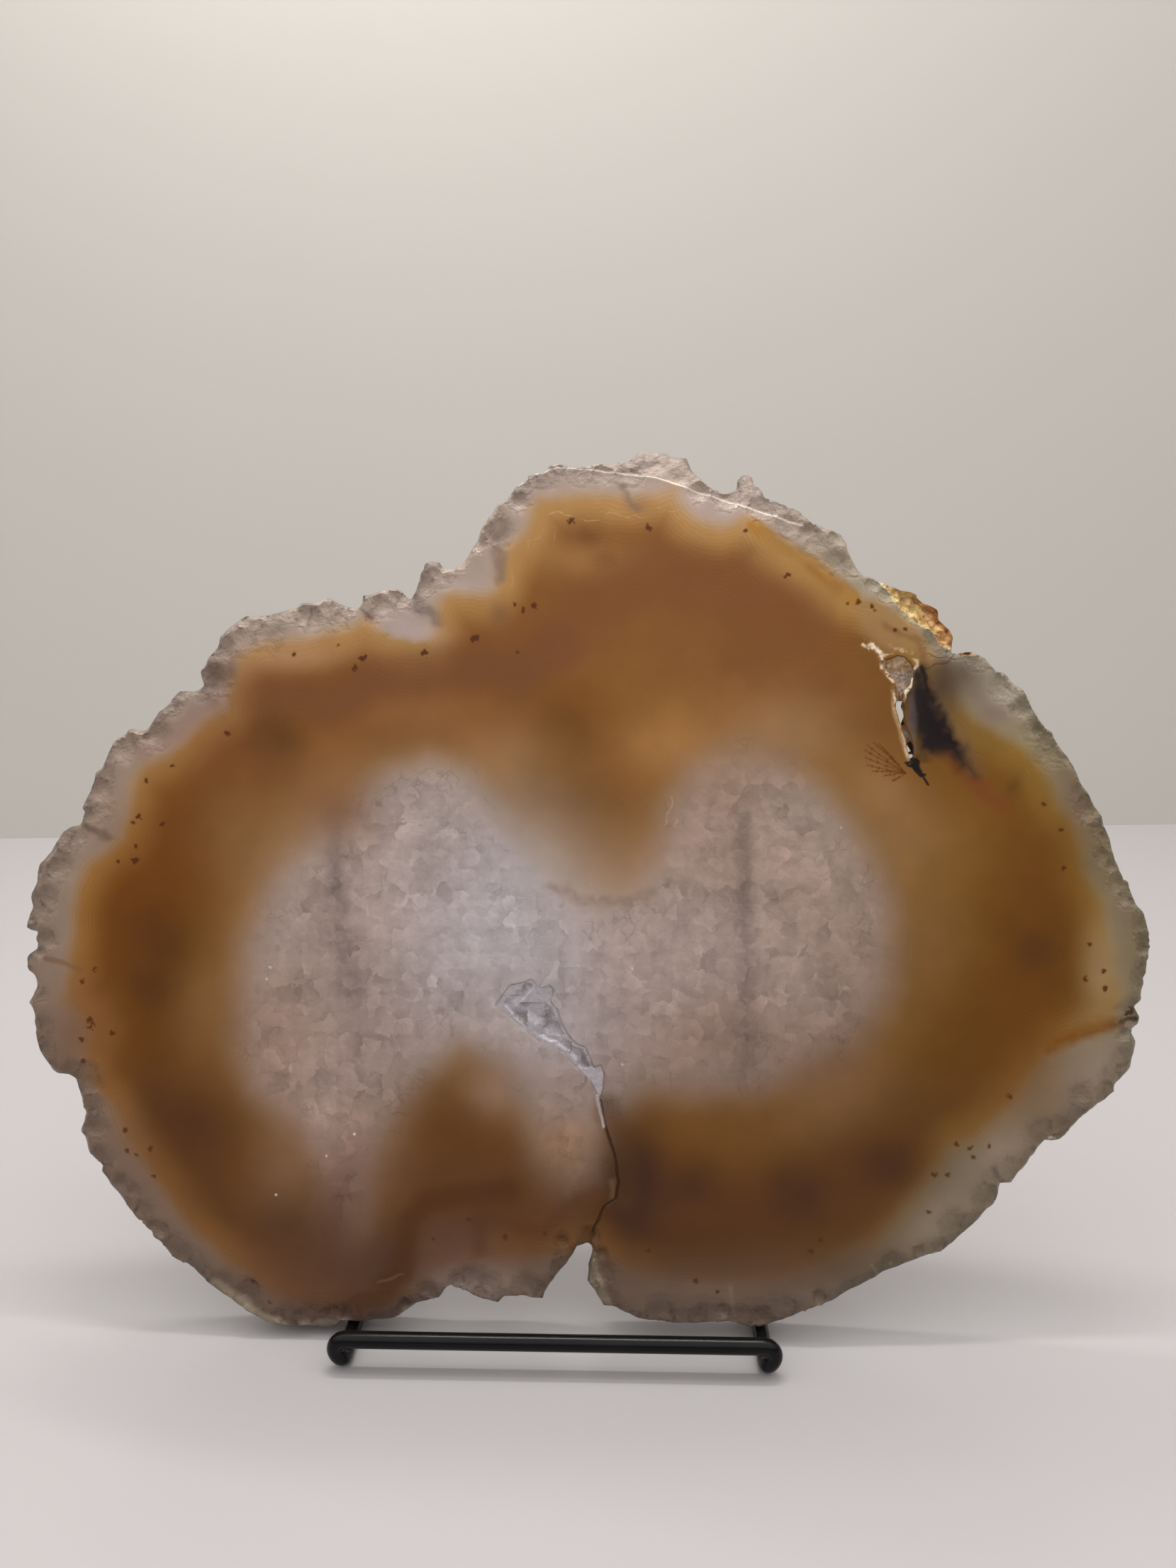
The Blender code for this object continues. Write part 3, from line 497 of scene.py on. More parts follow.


# Soft places in the rind, the amber stone and the quartz. Each row: u, v, reach across, reach up, red, green,
# blue, strength and turn in degrees.
# A few dark patches are painted shade: low along the bottom edge and right of the crack.
PATCHES: tuple[Patch, ...] = tuple(
    Patch((u, v), (across, up), (red, green, blue), *rest)
    for u, v, across, up, red, green, blue, *rest in (
        (-96, 108, 4, 8, 155, 135, 121, 0.6, -30), (-84, 121, 5, 3, 149, 127, 113, 0.5, 35),
        (-73.5, 137, 2.2, 4, 150, 130, 120, 0.5), (-70.5, 131, 2.0, 4, 100, 80, 66, 0.7),
        (-103, 58, 4, 9, 118, 92, 74, 0.6), (-108, 70, 3, 6, 140, 118, 104, 0.5),
        (-93, 36, 5, 6, 124, 100, 84, 0.5, -50), (-31, 144, 4.5, 2.0, 186, 167, 164, 0.85, -15),
        (-19.5, 152.5, 3, 1.2, 178, 160, 154, 0.7), (31, 169, 6, 2, 182, 163, 156, 0.7, -15),
        (2, 173.5, 7, 1.6, 168, 149, 140, 0.6), (16, 168.5, 2, 1.2, 140, 105, 75, 0.6),
        (12.5, 175, 3, 1.8, 178, 162, 152, 0.6), (89, 126.5, 2.5, 1.8, 122, 102, 94, 0.7),
        (83, 134.5, 2.6, 2.2, 98, 86, 74, 0.8), (79.0, 133.5, 2.2, 4.4, 74, 58, 46, 0.85, 25),
        (76.8, 130.0, 1.6, 3.2, 48, 40, 38, 0.8, 28), (85.5, 131.0, 2.0, 3.0, 104, 88, 74, 0.6, 35),
        (91, 132, 3.5, 3.5, 168, 156, 144, 0.6, -50), (105.5, 108, 1.6, 4.5, 122, 100, 92, 0.6, 25),
        (115, 86, 2, 3, 124, 108, 94, 0.5), (110.5, 74, 3.5, 8, 152, 130, 102, 0.7),
        (106, 50, 7, 4, 138, 118, 104, 0.6, 35), (106, 46.5, 2.5, 1.5, 112, 102, 92, 0.6),
        # Painted shade: the second patch on the next line darkens the bottom edge near the floor.
        (-42, 3, 8, 4, 66, 46, 37, 0.85), (-34, 10.5, 11, 4, 58, 40, 29, 0.85),
        (-14, 7.5, 10, 3.4, 160, 142, 132, 0.85), (22, 5, 12, 3.5, 108, 90, 80, 0.5),
        (-67.3, 135.5, 1, 2.2, 106, 86, 78, 0.8), (-55, 137.5, 9, 2.2, 152, 118, 88, 0.7, 5),
        (-12, 146.5, 1.4, 1.8, 112, 82, 60, 0.7), (32, 151, 12, 5, 116, 76, 42, 0.5),
        (22, 139, 20, 8, 120, 80, 42, 0.7), (30, 126, 10, 7, 132, 92, 52, 0.7),
        (46, 134, 17, 6, 114, 76, 42, 0.6, -20), (4, 158, 9, 3, 160, 118, 70, 0.6),
        (47, 122, 9, 6, 146, 115, 86, 0.7), (-30, 128, 10, 4, 138, 96, 58, 0.5), (0, 123, 7, 6, 90, 55, 20, 0.85),
        (6, 107, 10, 10, 95, 55, 15, 0.92), (-10, 120, 6, 5, 140, 98, 58, 0.5), (22, 120, 8, 5, 156, 112, 66, 0.65),
        (-84, 85, 8, 13, 98, 58, 24, 0.6), (-76, 100, 8, 8, 104, 64, 32, 0.5, -30),
        (-68, 102, 5, 8, 126, 90, 52, 0.6), (-66, 118, 8, 6, 108, 68, 42, 0.5), (-80, 45, 8, 14, 90, 54, 26, 0.5),
        (-56, 18, 6, 7, 78, 47, 26, 0.6), (-66, 26, 8, 8, 94, 60, 30, 0.4), (-41, 10, 6, 4, 74, 50, 36, 0.6),
        (-32, 35, 4, 7, 132, 100, 70, 0.6), (-22, 40, 7, 7, 84, 51, 22, 0.9), (-24, 30, 8, 6, 84, 54, 30, 0.6),
        (-20, 17, 8, 5, 86, 62, 54, 0.75), (-6, 19, 5, 6, 86, 56, 34, 0.75), (1.5, 38, 4.5, 6, 158, 124, 94, 0.85),
        # Painted shadow: the first patch on the next line darkens the stone right of the crack.
        (15.5, 29, 4.5, 8, 44, 28, 17, 0.9), (36, 24, 18, 6, 78, 49, 25, 0.55, 8),
        (60, 33, 9, 6, 80, 50, 26, 0.6, 35), (70, 40, 6, 5, 84, 52, 24, 0.6, 40),
        # Painted shade: the first patch on the next line darkens the bottom edge near the floor.
        (36, 12, 20, 4, 84, 61, 45, 0.75, 5), (96, 66, 7, 14, 100, 62, 26, 0.7), (86, 52, 7, 8, 96, 62, 30, 0.6, 35),
        (98, 88, 6, 12, 98, 62, 28, 0.7, -15), (80, 100, 8, 8, 122, 88, 48, 0.5), (75, 80, 7, 10, 118, 86, 56, 0.6),
        (70, 100, 6, 6, 131, 100, 70, 0.5), (-14, 86, 15, 18, 176, 170, 173, 0.97, -35),
        (-30, 98, 9, 11, 168, 155, 152, 0.75), (0, 73, 9, 11, 172, 167, 170, 0.85),
        (-50, 80, 10, 18, 160, 141, 133, 0.8), (-57, 58, 6, 9, 146, 121, 106, 0.7),
        (-44, 52, 7, 11, 147, 128, 121, 0.8), (-42, 33, 4.5, 11, 132, 109, 99, 0.75),
        (30, 60, 14, 8, 139, 114, 102, 0.7), (32, 98, 10, 8, 160, 137, 124, 0.7), (50, 90, 9, 11, 160, 139, 127, 0.7),
        (60, 75, 6, 10, 146, 122, 108, 0.5), (18, 70, 9, 8, 160, 144, 138, 0.7), (2, 60, 8, 6, 162, 152, 152, 0.8),
        (2, 47, 6, 4, 156, 138, 132, 0.7), (-13, 48, 4, 4, 146, 120, 106, 0.6), (20, 82, 12, 8, 160, 144, 137, 0.7),
        (-46, 107, 6, 5, 112, 78, 54, 0.65, -35), (66, 111, 7, 5, 148, 114, 80, 0.6, -35),
        (34, 112, 6, 5, 150, 124, 108, 0.7), (-95, 60, 5, 7, 106, 70, 40, 0.7), (-73, 64, 6, 9, 124, 92, 62, 0.6),
        (58, 50, 11, 7, 118, 87, 60, 0.75, 30), (-57, 30, 5, 10, 122, 94, 72, 0.6), (-46, 19, 5, 8, 84, 58, 42, 0.8),
        (2, 23, 5, 4, 84, 58, 40, 0.5), (-18, 30, 14, 6, 86, 56, 32, 0.6), (30, 5, 18, 3, 122, 103, 90, 0.7),
        (92, 36, 4, 6, 150, 133, 118, 0.7, -45), (80, 22, 6, 4, 144, 128, 112, 0.6, 35),
        (110, 54, 5, 5, 150, 134, 118, 0.6, 35), (-52, 9, 9, 5, 88, 60, 44, 0.7),
    )
)  # fmt: skip

# Small soft clouds in the brown stone.
CLOUDS: tuple[tuple[float, float, float], ...] = (
    (-83, 69, 4), (-78, 42, 6), (-80, 78, 5), (-58, 122, 4), (-57, 20, 4), (68, 35, 4), (50, 28, 4), (28, 30, 4),
    (98, 78, 4), (9.3, 158, 1.6), (6, 162, 1.4), (39.5, 159, 1.5), (-4, 174, 1.2), (-7, 172.5, 1.2), (93, 111.5, 1.6),
)  # fmt: skip

# Lines: lilac edges, curved bands, folds, hairline cracks, veins and scratches; a few are painted highlights or a
# painted shadow.
STROKES: tuple[Stroke, ...] = (
    Stroke(((-86, 118), (-78, 121), (-75, 126), (-70, 128), (-70, 131)), 1.0, (148, 120, 108), 0.5, 1.6),
    Stroke(((-36, 142), (-33, 140.6), (-30, 139.8), (-27, 140)), 0.4, (150, 115, 62), 0.7, 0.9),
    Stroke(((-29, 147.5), (-26, 147), (-25, 145)), 0.6, (112, 96, 90), 0.6, 1.0),
    Stroke(((-13, 162), (-12, 158), (-12, 154)), 0.6, (122, 100, 88), 0.7, 1.4),
    Stroke(((-62, 130), (-55, 130), (-47, 128), (-38, 133), (-25, 134.5), (-15, 136), (-8, 134.5), (0, 140)), 1.5,
        (105, 68, 46), 0.6, 6.5),
    Stroke(((0, 140), (8, 148), (20, 155), (40, 150), (50, 145)), 2.0, (112, 72, 44), 0.45, 7.0),
    Stroke(((-35, 8), (-32, 10), (-31, 20), (-27, 25), (-20, 26.5), (-10, 27.5)), 0.8, (70, 42, 22), 0.6, 3.0),
    Stroke(((-16, 15), (-16, 27)), 0.4, (76, 48, 30), 0.45, 2.4),
    Stroke(((-8, 20), (-3, 19), (2, 24), (8, 27)), 0.4, (80, 50, 30), 0.6, 2.4),
    Stroke(((-2, 91), (5, 88), (12, 87), (18, 88.5), (25, 92)), 0.2, (118, 96, 84), 0.45, 1.2, 0.8),
    Stroke(((40, 164.5), (46, 160), (52, 156.5), (60, 150)), 1.0, (158, 112, 48), 0.85, 1.2),
    Stroke(((51, 156.2), (54, 153.8), (57, 151.2)), 0.2, (132, 84, 36), 0.4, 1.4),
    Stroke(((113, 63.4), (106, 61.2), (101, 58.8)), 0.6, (112, 74, 32), 0.7, 1.8),
    Stroke(((118.5, 64.2), (117, 63.8), (115.2, 63.4)), 0.2, (58, 38, 22), 0.8, 0.5, 0.4),
    Stroke(((115.5, 63.4), (112, 62.8), (107, 61.2), (103, 59.4), (100.5, 57.6)), 0.15, (104, 66, 28), 0.6, 0.9, 0.4),
    Stroke(((-99, 103), (-96, 101.5), (-92.5, 100)), 0.3, (96, 78, 66), 0.7, 0.8, 0.3),
    Stroke(((-107, 75), (-103, 74), (-99, 72.5)), 0.2, (110, 80, 58), 0.6, 0.6, 0.3),
    Stroke(((-108.5, 92.5), (-106, 92.2)), 0.2, (110, 92, 82), 0.5, 0.5),
    Stroke(((-41, 148), (-38.5, 145.5)), 0.15, (110, 90, 80), 0.5, 0.4),
    Stroke(((-2, 166.8), (0, 167.3), (3, 166.3), (6, 165.4), (9, 166), (10.5, 167.2), (13, 166.5), (15, 166.3),
        (18.5, 166.3)), 0.02, (206, 178, 142), 0.42, 0.17, 0.35, 0.8),
    Stroke(((20.5, 168), (22, 167.5), (24.5, 167.7)), 0.02, (206, 178, 142), 0.35, 0.17, 0.3, 0.8),
    Stroke(((-0.5, 164.5), (-0.7, 162), (-1, 160)), 0.02, (190, 160, 120), 0.32, 0.17, 0.3, 0.8),
    Stroke(((-3, 164), (-4, 162), (-6, 161.5), (-6, 160)), 0.02, (190, 160, 120), 0.32, 0.17, 0.3, 0.8),
    Stroke(((-9.5, 155.5), (-9.5, 152)), 0.02, (190, 160, 120), 0.3, 0.17, 0.2, 0.8),
    Stroke(((13, 173), (14, 170), (16, 168)), 0.25, (120, 98, 84), 0.6, 0.8, 0.2),
    Stroke(((15, 176), (20, 178)), 0.2, (110, 96, 88), 0.6, 0.6),
    # Painted highlight: a thin bright line along the facet edge.
    Stroke(FACET_EDGE[1:-1], 0.07, (246, 238, 224), 0.95, 0.2, 0.1),
    Stroke(((80.7, 138.3), (79, 136.7), (77, 136.3), (75, 135.5), (73, 134.9)), 0.06, (70, 52, 42), 0.7, 0.25, 0.2),
    Stroke(((-72, 7.5), (-67, 4), (-62, 0.5), (-57, -1.8)), 0.5, (165, 152, 128), 0.7, 0.9, 0.4),
    Stroke(((-53, -1.4), (-48, -1.6), (-44, -0.4)), 0.4, (148, 136, 124), 0.6, 0.8, 0.4),
    Stroke(((-37, 8), (-34.5, 8.8), (-32, 9.8)), 0.05, (130, 108, 90), 0.3, 0.4, 0.2),
    # Painted highlight: a short bright line on the bottom edge.
    Stroke(((-32.5, 0.8), (-31, 2), (-29.5, 3)), 0.3, (180, 165, 150), 0.6, 0.4, 0.2),
    Stroke(((67, 9.8), (66, 11.5), (65, 13)), 0.1, (150, 138, 126), 0.4, 0.5),
    Stroke(((36, 8), (36.4, 5), (37, 1)), 0.1, (132, 116, 104), 0.4, 0.6),
    # Painted shadow: a broad soft dark band along the right side of the crack.
    Stroke(((10.5, 45), (12.5, 41), (14, 36), (15, 31), (14.5, 26)), 0.8, (78, 52, 34), 0.5, 3.4),
    Stroke(CRACK, 0.08, (58, 42, 32), 0.8, 0.36, 0.25),
    # Painted highlight: the lit pale lip on the left of the crack's top.
    Stroke(((8.3, 47.6), (8.7, 46), (9.1, 43.5), (9.8, 41)), 0.14, (196, 190, 196), 0.7, 0.4, 0.2),
    Stroke(((22, 103.5), (22.6, 106), (23.6, 109)), 0.04, (205, 184, 162), 0.4, 0.2, 0.3, 0.6),
    Stroke(((23.8, 102.8), (24.6, 104.6)), 0.04, (205, 184, 162), 0.4, 0.2, 0.3, 0.6),
    Stroke(((66, 144.7), (67.5, 143.5), (70, 142.3), (73, 141.5), (74.3, 138.5), (74.1, 135.5)), 0.15, (110, 76, 46),
        0.5, 1.0, 0.5),
    Stroke(((74.1, 135.5), (75, 131.5), (77.5, 127.5), (79.3, 123.5), (81.5, 119)), 0.15, (24, 20, 24), 0.8, 0.7,
        0.4),
    Stroke(((62.0, 140.7), (63.0, 140.0), (64.6, 139.9), (65.4, 138.6), (66.0, 137.2)), 0.3, (226, 212, 190), 0.9,
        0.5, 0.8, 1.0),
    Stroke(((65.9, 137.2), (65.8, 135.5), (66.9, 134.5), (68.2, 133), (68.6, 131), (68.6, 129.2)), 0.25,
        (222, 208, 190), 0.85, 0.4, 0.6, 0.9),
    Stroke(((72.7, 135.2), (72.3, 133.6), (71.4, 131.9), (70.4, 130.3), (70.4, 129)), 0.2, (230, 220, 208), 0.9, 0.3,
        0.5, 0.8),
    Stroke(((68.4, 128.6), (68.4, 127.2), (69.2, 125), (70.2, 122), (71, 119), (71.6, 117)), 0.15, (206, 184, 158),
        0.6, 0.4, 0.5, 0.8),
    Stroke(((72.8, 135.4), (72.9, 137), (72.3, 138.4), (71, 139.2), (69, 139.3), (67.4, 138.6), (66.2, 137.6)), 0.2,
        (214, 196, 170), 0.7, 0.6, 0.8, 1.0),
)  # fmt: skip

# The blue-black stain beside the vug, which also dulls the stone's clearness.
STAIN = Area(
    ((70.6, 130), (72.6, 134.8), (74.4, 135.3), (75.5, 131), (78, 126.5), (79.8, 123), (81.5, 120), (83.4, 117.5),
     (85.2, 114.2), (82.5, 115.4), (79.5, 118), (76.5, 118), (73.4, 117.4), (72.7, 119), (72.2, 122), (71.3, 125),
     (70.8, 128)), (33, 30, 32), 0.95, 2.2, 1.6, 1.4,
)  # fmt: skip

# Blots: tan stone and the stain's reddish tail beside the vug, and the chips and crusts of the notch.
AREAS: tuple[Area, ...] = (
    Area(((61, 149), (66, 149.5), (71, 146), (76, 140.5), (77, 136.5), (74.5, 136), (73, 139), (69.5, 139),
        (66.5, 138.5), (63.5, 140.5), (60.5, 144.5)), (146, 114, 78), 0.7, 1.8, 1.6, 1.0),
    Area(((74.5, 134), (78.5, 127), (81.5, 121), (85, 115.5), (91.5, 107.5), (92.5, 105.5), (87, 108.5), (82, 114),
        (78.5, 118)), (112, 62, 34), 0.75, 1.4, 1.6, 1.0),
    Area(((75.5, 135.5), (78.5, 129.5), (82, 124), (84.5, 119.5), (87, 114), (84, 114), (80, 120), (76, 128)),
        (104, 84, 62), 0.6, 1.6, 1.6, 0.8),
    STAIN,
    Area(((74.6, 128), (76.6, 127.6), (79.2, 122.6), (80.2, 118.6), (77.4, 120), (75.4, 123.6)), (34, 28, 32), 0.8,
        1.2, 0.8, 0.5),
    Area(((70.9, 118.8), (71.1, 129.5), (72.4, 131.5), (73.0, 127), (73.2, 121), (73.6, 118.4), (72.4, 118)),
        (98, 86, 80), 0.55, 0.7, 0.6, 0.5),
    Area(((68.6, 131.2), (68.9, 127.8), (69.2, 126.2), (70.2, 122.5), (71.2, 119.4), (71.9, 116.6), (71.2, 116.8),
        (70.2, 119.8), (69.2, 122.8), (68.3, 126), (67.9, 128.5), (67.9, 131)), (176, 150, 116), 0.5, 0.3, 0.3, 0.2),
    Area(((63.6, 140.1), (65.2, 139.9), (66.4, 138.4), (66.9, 137.7), (65.8, 138), (64.9, 139)), (206, 190, 164), 0.7,
        0.3, 0.3, 0.4),
    Area(((7.3, 15.3), (6.6, 12), (6.5, 8.2), (7.7, 6.1), (9.3, 3.6), (11.5, 3.2), (10.5, 6), (9.2, 9.5), (8.6, 13)),
        (158, 146, 124), 0.7, 0.5, 0.6, 0.5),
    Area(((7.3, 18.2), (9.2, 18), (9.3, 15.6), (7.6, 15.2)), (92, 66, 44), 0.7, 0.4, 0.5, 0.3),
    Area(((71.6, 116.8), (72.6, 117.3), (73.4, 116.9), (73.7, 115.4), (74.2, 114.3), (73.2, 114.6), (72.0, 115.6)),
        (26, 20, 18), 0.95, 0.25, 0.3, 0.5),
    Area(((10.8, 30), (12.2, 30.5), (12.4, 28), (11.9, 26.2), (11, 26), (11.2, 28)), (150, 124, 100), 0.3, 0.5, 0.5),
)  # fmt: skip

# The fern of iron left of the vug, and the black branch under it.
FERN_FOOT: Point = (71.0, 114.2)
FERN_TIPS: Line = (
    (62.6, 118.9), (63.0, 120.0), (64.2, 120.6), (62.6, 117.4), (63.0, 115.9), (64.2, 114.6), (65.4, 120.3),
    (66.6, 119.2), (66.4, 113.6), (68.2, 112.6), (68.0, 117.6),
)  # fmt: skip
BLACK_BRANCH: tuple[Line, ...] = (
    ((70.9, 116.3), (71.8, 116.4), (72.8, 116.0), (73.5, 115.0), (74.4, 113.6), (75.5, 111.9)),
    ((72.4, 115.4), (73.0, 114.6), (74.0, 113.6)),
    ((71.3, 115.9), (72.0, 115.6)),
    ((74.2, 114.0), (74.9, 113.9)),
)

# Dark grains in the face: u, v and radius.
SPECKS: tuple[tuple[float, float, float], ...] = (
    (-87, 104.5, 0.55), (-88, 103.3, 0.4), (-82, 103, 0.45), (-87.7, 98.5, 0.45), (-91.2, 95.3, 0.6),
    (-87.7, 95.5, 0.75), (-68.5, 121.7, 0.5), (-79.8, 115.2, 0.4), (-85.5, 112, 0.4), (-99, 70.3, 0.45),
    (-97.5, 62.3, 0.5), (-97, 61, 0.8), (-99.3, 58, 0.4), (-99, 53.5, 0.4), (-90.2, 39, 0.5), (-84.7, 35.3, 0.4),
    (-89.5, 34.8, 0.45), (-87.5, 34, 0.4), (-84, 29.5, 0.4), (-63.5, 7.5, 0.4), (-59.5, 3.3, 0.4),
    (-54.5, 138.3, 0.3), (-45.3, 140.2, 0.35), (-40.2, 137.5, 0.75), (-41.7, 135.5, 0.6), (-17.3, 141.5, 0.75),
    (-7.2, 147.3, 0.5), (-4.8, 148.2, 0.6), (-9, 148.5, 0.3), (-8.5, 138.8, 0.3), (2.5, 165.5, 0.7),
    (18.6, 164.2, 0.6), (46.5, 154.5, 0.6), (38.2, 163.7, 0.4), (59, 148.7, 0.35), (61, 149, 0.4), (63.8, 148, 0.4),
    (64.3, 147.3, 0.3), (99, 108, 0.4), (103, 95, 0.35), (68.5, 143.3, 0.35), (70.5, 143.5, 0.3),
    (102.3, 102.8, 0.35), (108.6, 79.5, 0.45), (111.2, 74.2, 0.4), (107.6, 72.5, 0.4), (111.8, 70.5, 0.45),
    (92.5, 48.3, 0.5), (82, 38.3, 0.45), (84.7, 37.5, 0.55), (85.3, 35.8, 0.4), (88.7, 38, 0.4), (77.5, 32, 0.5),
    (76.5, 24.3, 0.4), (80.3, 32, 0.4), (28.8, 9.3, 0.4), (33.3, 7, 0.4), (54.3, 18, 0.4), (52.5, 15.8, 0.4),
    (19, 15.3, 0.45), (15, 23, 0.3), (-18.3, 21.2, 0.5), (-25.5, 17.3, 0.35), (-10.3, 17.8, 0.5),
    (-2.3, 18.8, 0.45), (117, 65.5, 0.9), (-96.5, 72.7, 0.5), (-92.5, 59.3, 0.6), (-27.5, 138.5, 0.7),
)  # fmt: skip

# White flecks: u, v and radius.
FLECKS: tuple[tuple[float, float, float], ...] = (
    (-58.3, 26, 0.2), (-42, 38.8, 0.25), (-47.8, 34.2, 0.2), (-59.5, 73.5, 0.2), (-60.2, 71, 0.15),
    (13.5, 54, 0.25), (15.5, 73.8, 0.2), (58, 103, 0.2), (93.5, 30.5, 0.5), (95, 31, 0.4), (101.5, 39.5, 0.6),
)  # fmt: skip


def dots(u: Array, v: Array, places: Sequence[Place], edge: float, seed: int) -> Array:
    """Weight of scattered round grains: 1 inside each radius, which wavers by noise, fading over edge."""
    total = np.zeros(len(u))
    for cu, cv, radius in places:
        near = box_near(u, v, ((cu, cv),), radius * 2 + 1)
        pu, pv = u[near], v[near]
        gap = np.hypot(pu - cu, pv - cv) - radius * (0.62 + 0.75 * noise(pu, pv, 0.55, seed))
        total[near] = np.maximum(total[near], 1.0 - smooth(gap, 0.0, edge))
    return total


def fern_lines() -> list[Array]:
    """Thin branching lines from the fern's foot to each tip, with side twigs on both sides.

    Each main line is a curve foot + t (tip - foot) + bow t (1 - t) across it; twigs leave it at fixed shares.

    Returns:
        The lines as rows of points.
    """
    lines = []
    foot = np.array(FERN_FOOT)
    steps = np.linspace(0.0, 1.0, 9)[:, None]
    for number, tip in enumerate(np.array(FERN_TIPS)):
        way = tip - foot
        ahead = way / np.hypot(*way)
        across = np.array([-way[1], way[0]]) / np.hypot(*way)
        bow = 0.5 * math.sin(2.1 * number)
        lines.append(foot + way * steps + across * bow * steps * (1 - steps))
        for share in (0.45, 0.66, 0.84):
            root = foot + way * share + across * bow * share * (1 - share)
            for side in (-1, 1):
                reach = (0.3 + 0.6 * (1 - share)) * (0.7 + 0.3 * math.sin(5 * number + 9 * share + side))
                lines.append(np.array([root, root + ahead * reach * 0.8 + across * side * reach * 0.6]))
    return lines


# The fern's hair lines in brown, and the branch in black.
IRON: tuple[Stroke, ...] = (
    *(Stroke(line, 0.0, (88, 48, 14), 0.8, 0.16) for line in fern_lines()),
    *(Stroke(line, 0.1, (30, 22, 18), 0.95, 0.24) for line in BLACK_BRANCH),
)


@dataclass(frozen=True)
class StonePaint:
    """Colours of the slice as seen in soft light, worked out point by point.

    Tones are display colours from 0 to 255. To become the stone's own they lose the veil, which is the
    light that the polish throws back everywhere, and are multiplied by the gain, because the lamps are soft.
    """

    # Zone tones that grow lighter up the slice: partly the stone's own hue, partly painted light from above.
    rind: ToneAndLightFade = ToneAndLightFade((112, 94, 82), (142, 124, 110), (170, 152, 140), 5, 85, 155)
    amber: ToneAndLightFade = ToneAndLightFade((110, 76, 42), (134, 95, 50), (164, 124, 74), 25, 85, 165)
    brown: ToneAndLightFade = ToneAndLightFade((78, 49, 23), (99, 62, 24), (120, 77, 38), 20, 80, 145)
    tan: ToneAndLightFade = ToneAndLightFade((100, 67, 31), (122, 84, 40), (134, 90, 41), 35, 95, 130)
    quartz: ToneAndLightFade = ToneAndLightFade((132, 112, 102), (158, 141, 134), (165, 147, 138), 30, 75, 105)
    right_rind: Tone = (124, 105, 84)
    right_amber: Tone = (116, 82, 38)
    right_tint: Place = (-0.8, 0.3, -1.6)
    speck: Tone = (74, 40, 20)
    fleck: Tone = (225, 215, 205)
    vug_wall: Tone = (196, 168, 142)
    outline_tone: Tone = (92, 86, 76)
    crust_pale: Tone = (208, 178, 122)
    crust_rust: Tone = (178, 114, 74)
    crust_grey: Tone = (132, 112, 92)
    crust_break: Tone = (228, 216, 190)
    gain: float = 1.43
    veil: float = 0.0097

    def band(self, u: Array, v: Array) -> Array:
        """Distance inwards from the amber line, above zero in the stone and below in the rind."""
        shift = 0.6 * layered(u, v, 5.0, 3)
        return signed_distance(u, v, AMBER_LINE) + shift

    def quartz_share(self, u: Array, v: Array) -> tuple[Array, Array]:
        """How far points lie in the clear quartz, as a soft weight and as a signed distance."""
        deep = signed_distance(u, v, QUARTZ_LINE) + 1.2 * layered(u, v, 9.0, 8)
        return smooth(deep, -6.0, 5.0), deep

    def zones(self, u: Array, v: Array) -> Array:
        """Display colours of the stone's zones alone.

        Rind, amber, brown and tan follow one another by the distance inwards from the amber line, and
        quartz is laid over them. Low on the right the amber is browner and its line softer, and further
        up on the right rind and amber are more olive.

        Args:
            u, v: the points.

        Returns:
            One row of red, green and blue from 0 to 255 for each point.
        """
        band = self.band(u, v)
        low_right = smooth(u, 8, 30) * (1 - smooth(v, 30, 45))
        soft = 1.9 + 3.0 * low_right - 1.1 * smooth(u, 30, 45) * smooth(v, 140, 150)
        right = smooth(u, 58.0, 100.0) * (1 - smooth(v, 116.0, 134.0)) * smooth(v, 56.0, 84.0)
        tone = mixed(self.rind.colour(v), self.right_rind, 0.7 * right)
        right = smooth(u, 50.0, 90.0) * (1 - smooth(v, 126.0, 146.0)) * smooth(v, 50.0, 80.0)
        amber = mixed(self.amber.colour(v), self.brown.colour(v), 0.75 * low_right)
        amber = mixed(amber, self.right_amber, 0.65 * right)
        tone = mixed(tone, amber, smooth(band / soft, -1.1, 1.1))
        tone = mixed(tone, self.brown.colour(v), smooth(band, 1.8, 9.0))
        tone = mixed(tone, self.tan.colour(v), 0.75 * smooth(band, 16.0, 30.0))
        tone = tone * (1 + 0.04 * smooth(u, 40.0, 70.0)[:, None] * np.array(self.right_tint))
        return mixed(tone, self.quartz.colour(v), self.quartz_share(u, v)[0])

    def colour(self, u: Array, v: Array) -> Array:
        """Display colours of points on the polished face.

        Patches, clouds, areas, lines and grains are laid over the zones, each by its own weight.

        Args:
            u, v: the points.

        Returns:
            One row of red, green and blue from 0 to 255 for each point.
        """
        tone = self.zones(u, v)
        for patch in PATCHES:
            tone = mixed(tone, patch.tone, patch.weight(u, v))
        shift = 1.6 * layered(u, v, 5.0, 58)
        for cu, cv, size in CLOUDS:
            weight = 0.15 * np.exp(-0.5 * ((u - cu + shift) ** 2 + 1.3 * (v - cv - shift) ** 2) / size**2)
            tone = tone * (1 - weight)[:, None]
        tone = tone * (1 + 0.05 * layered(u, v, 12.0, 40) + 0.025 * layered(u, v, 4.0, 41))[:, None]
        for shape in AREAS + STROKES + IRON:
            tone = mixed(tone, shape.tone, shape.weight(u, v))
        tone = mixed(tone, self.speck, 0.85 * dots(u, v, SPECKS, 0.35, 11))
        return mixed(tone, self.fleck, 0.7 * dots(u, v, FLECKS, 0.25, 12))

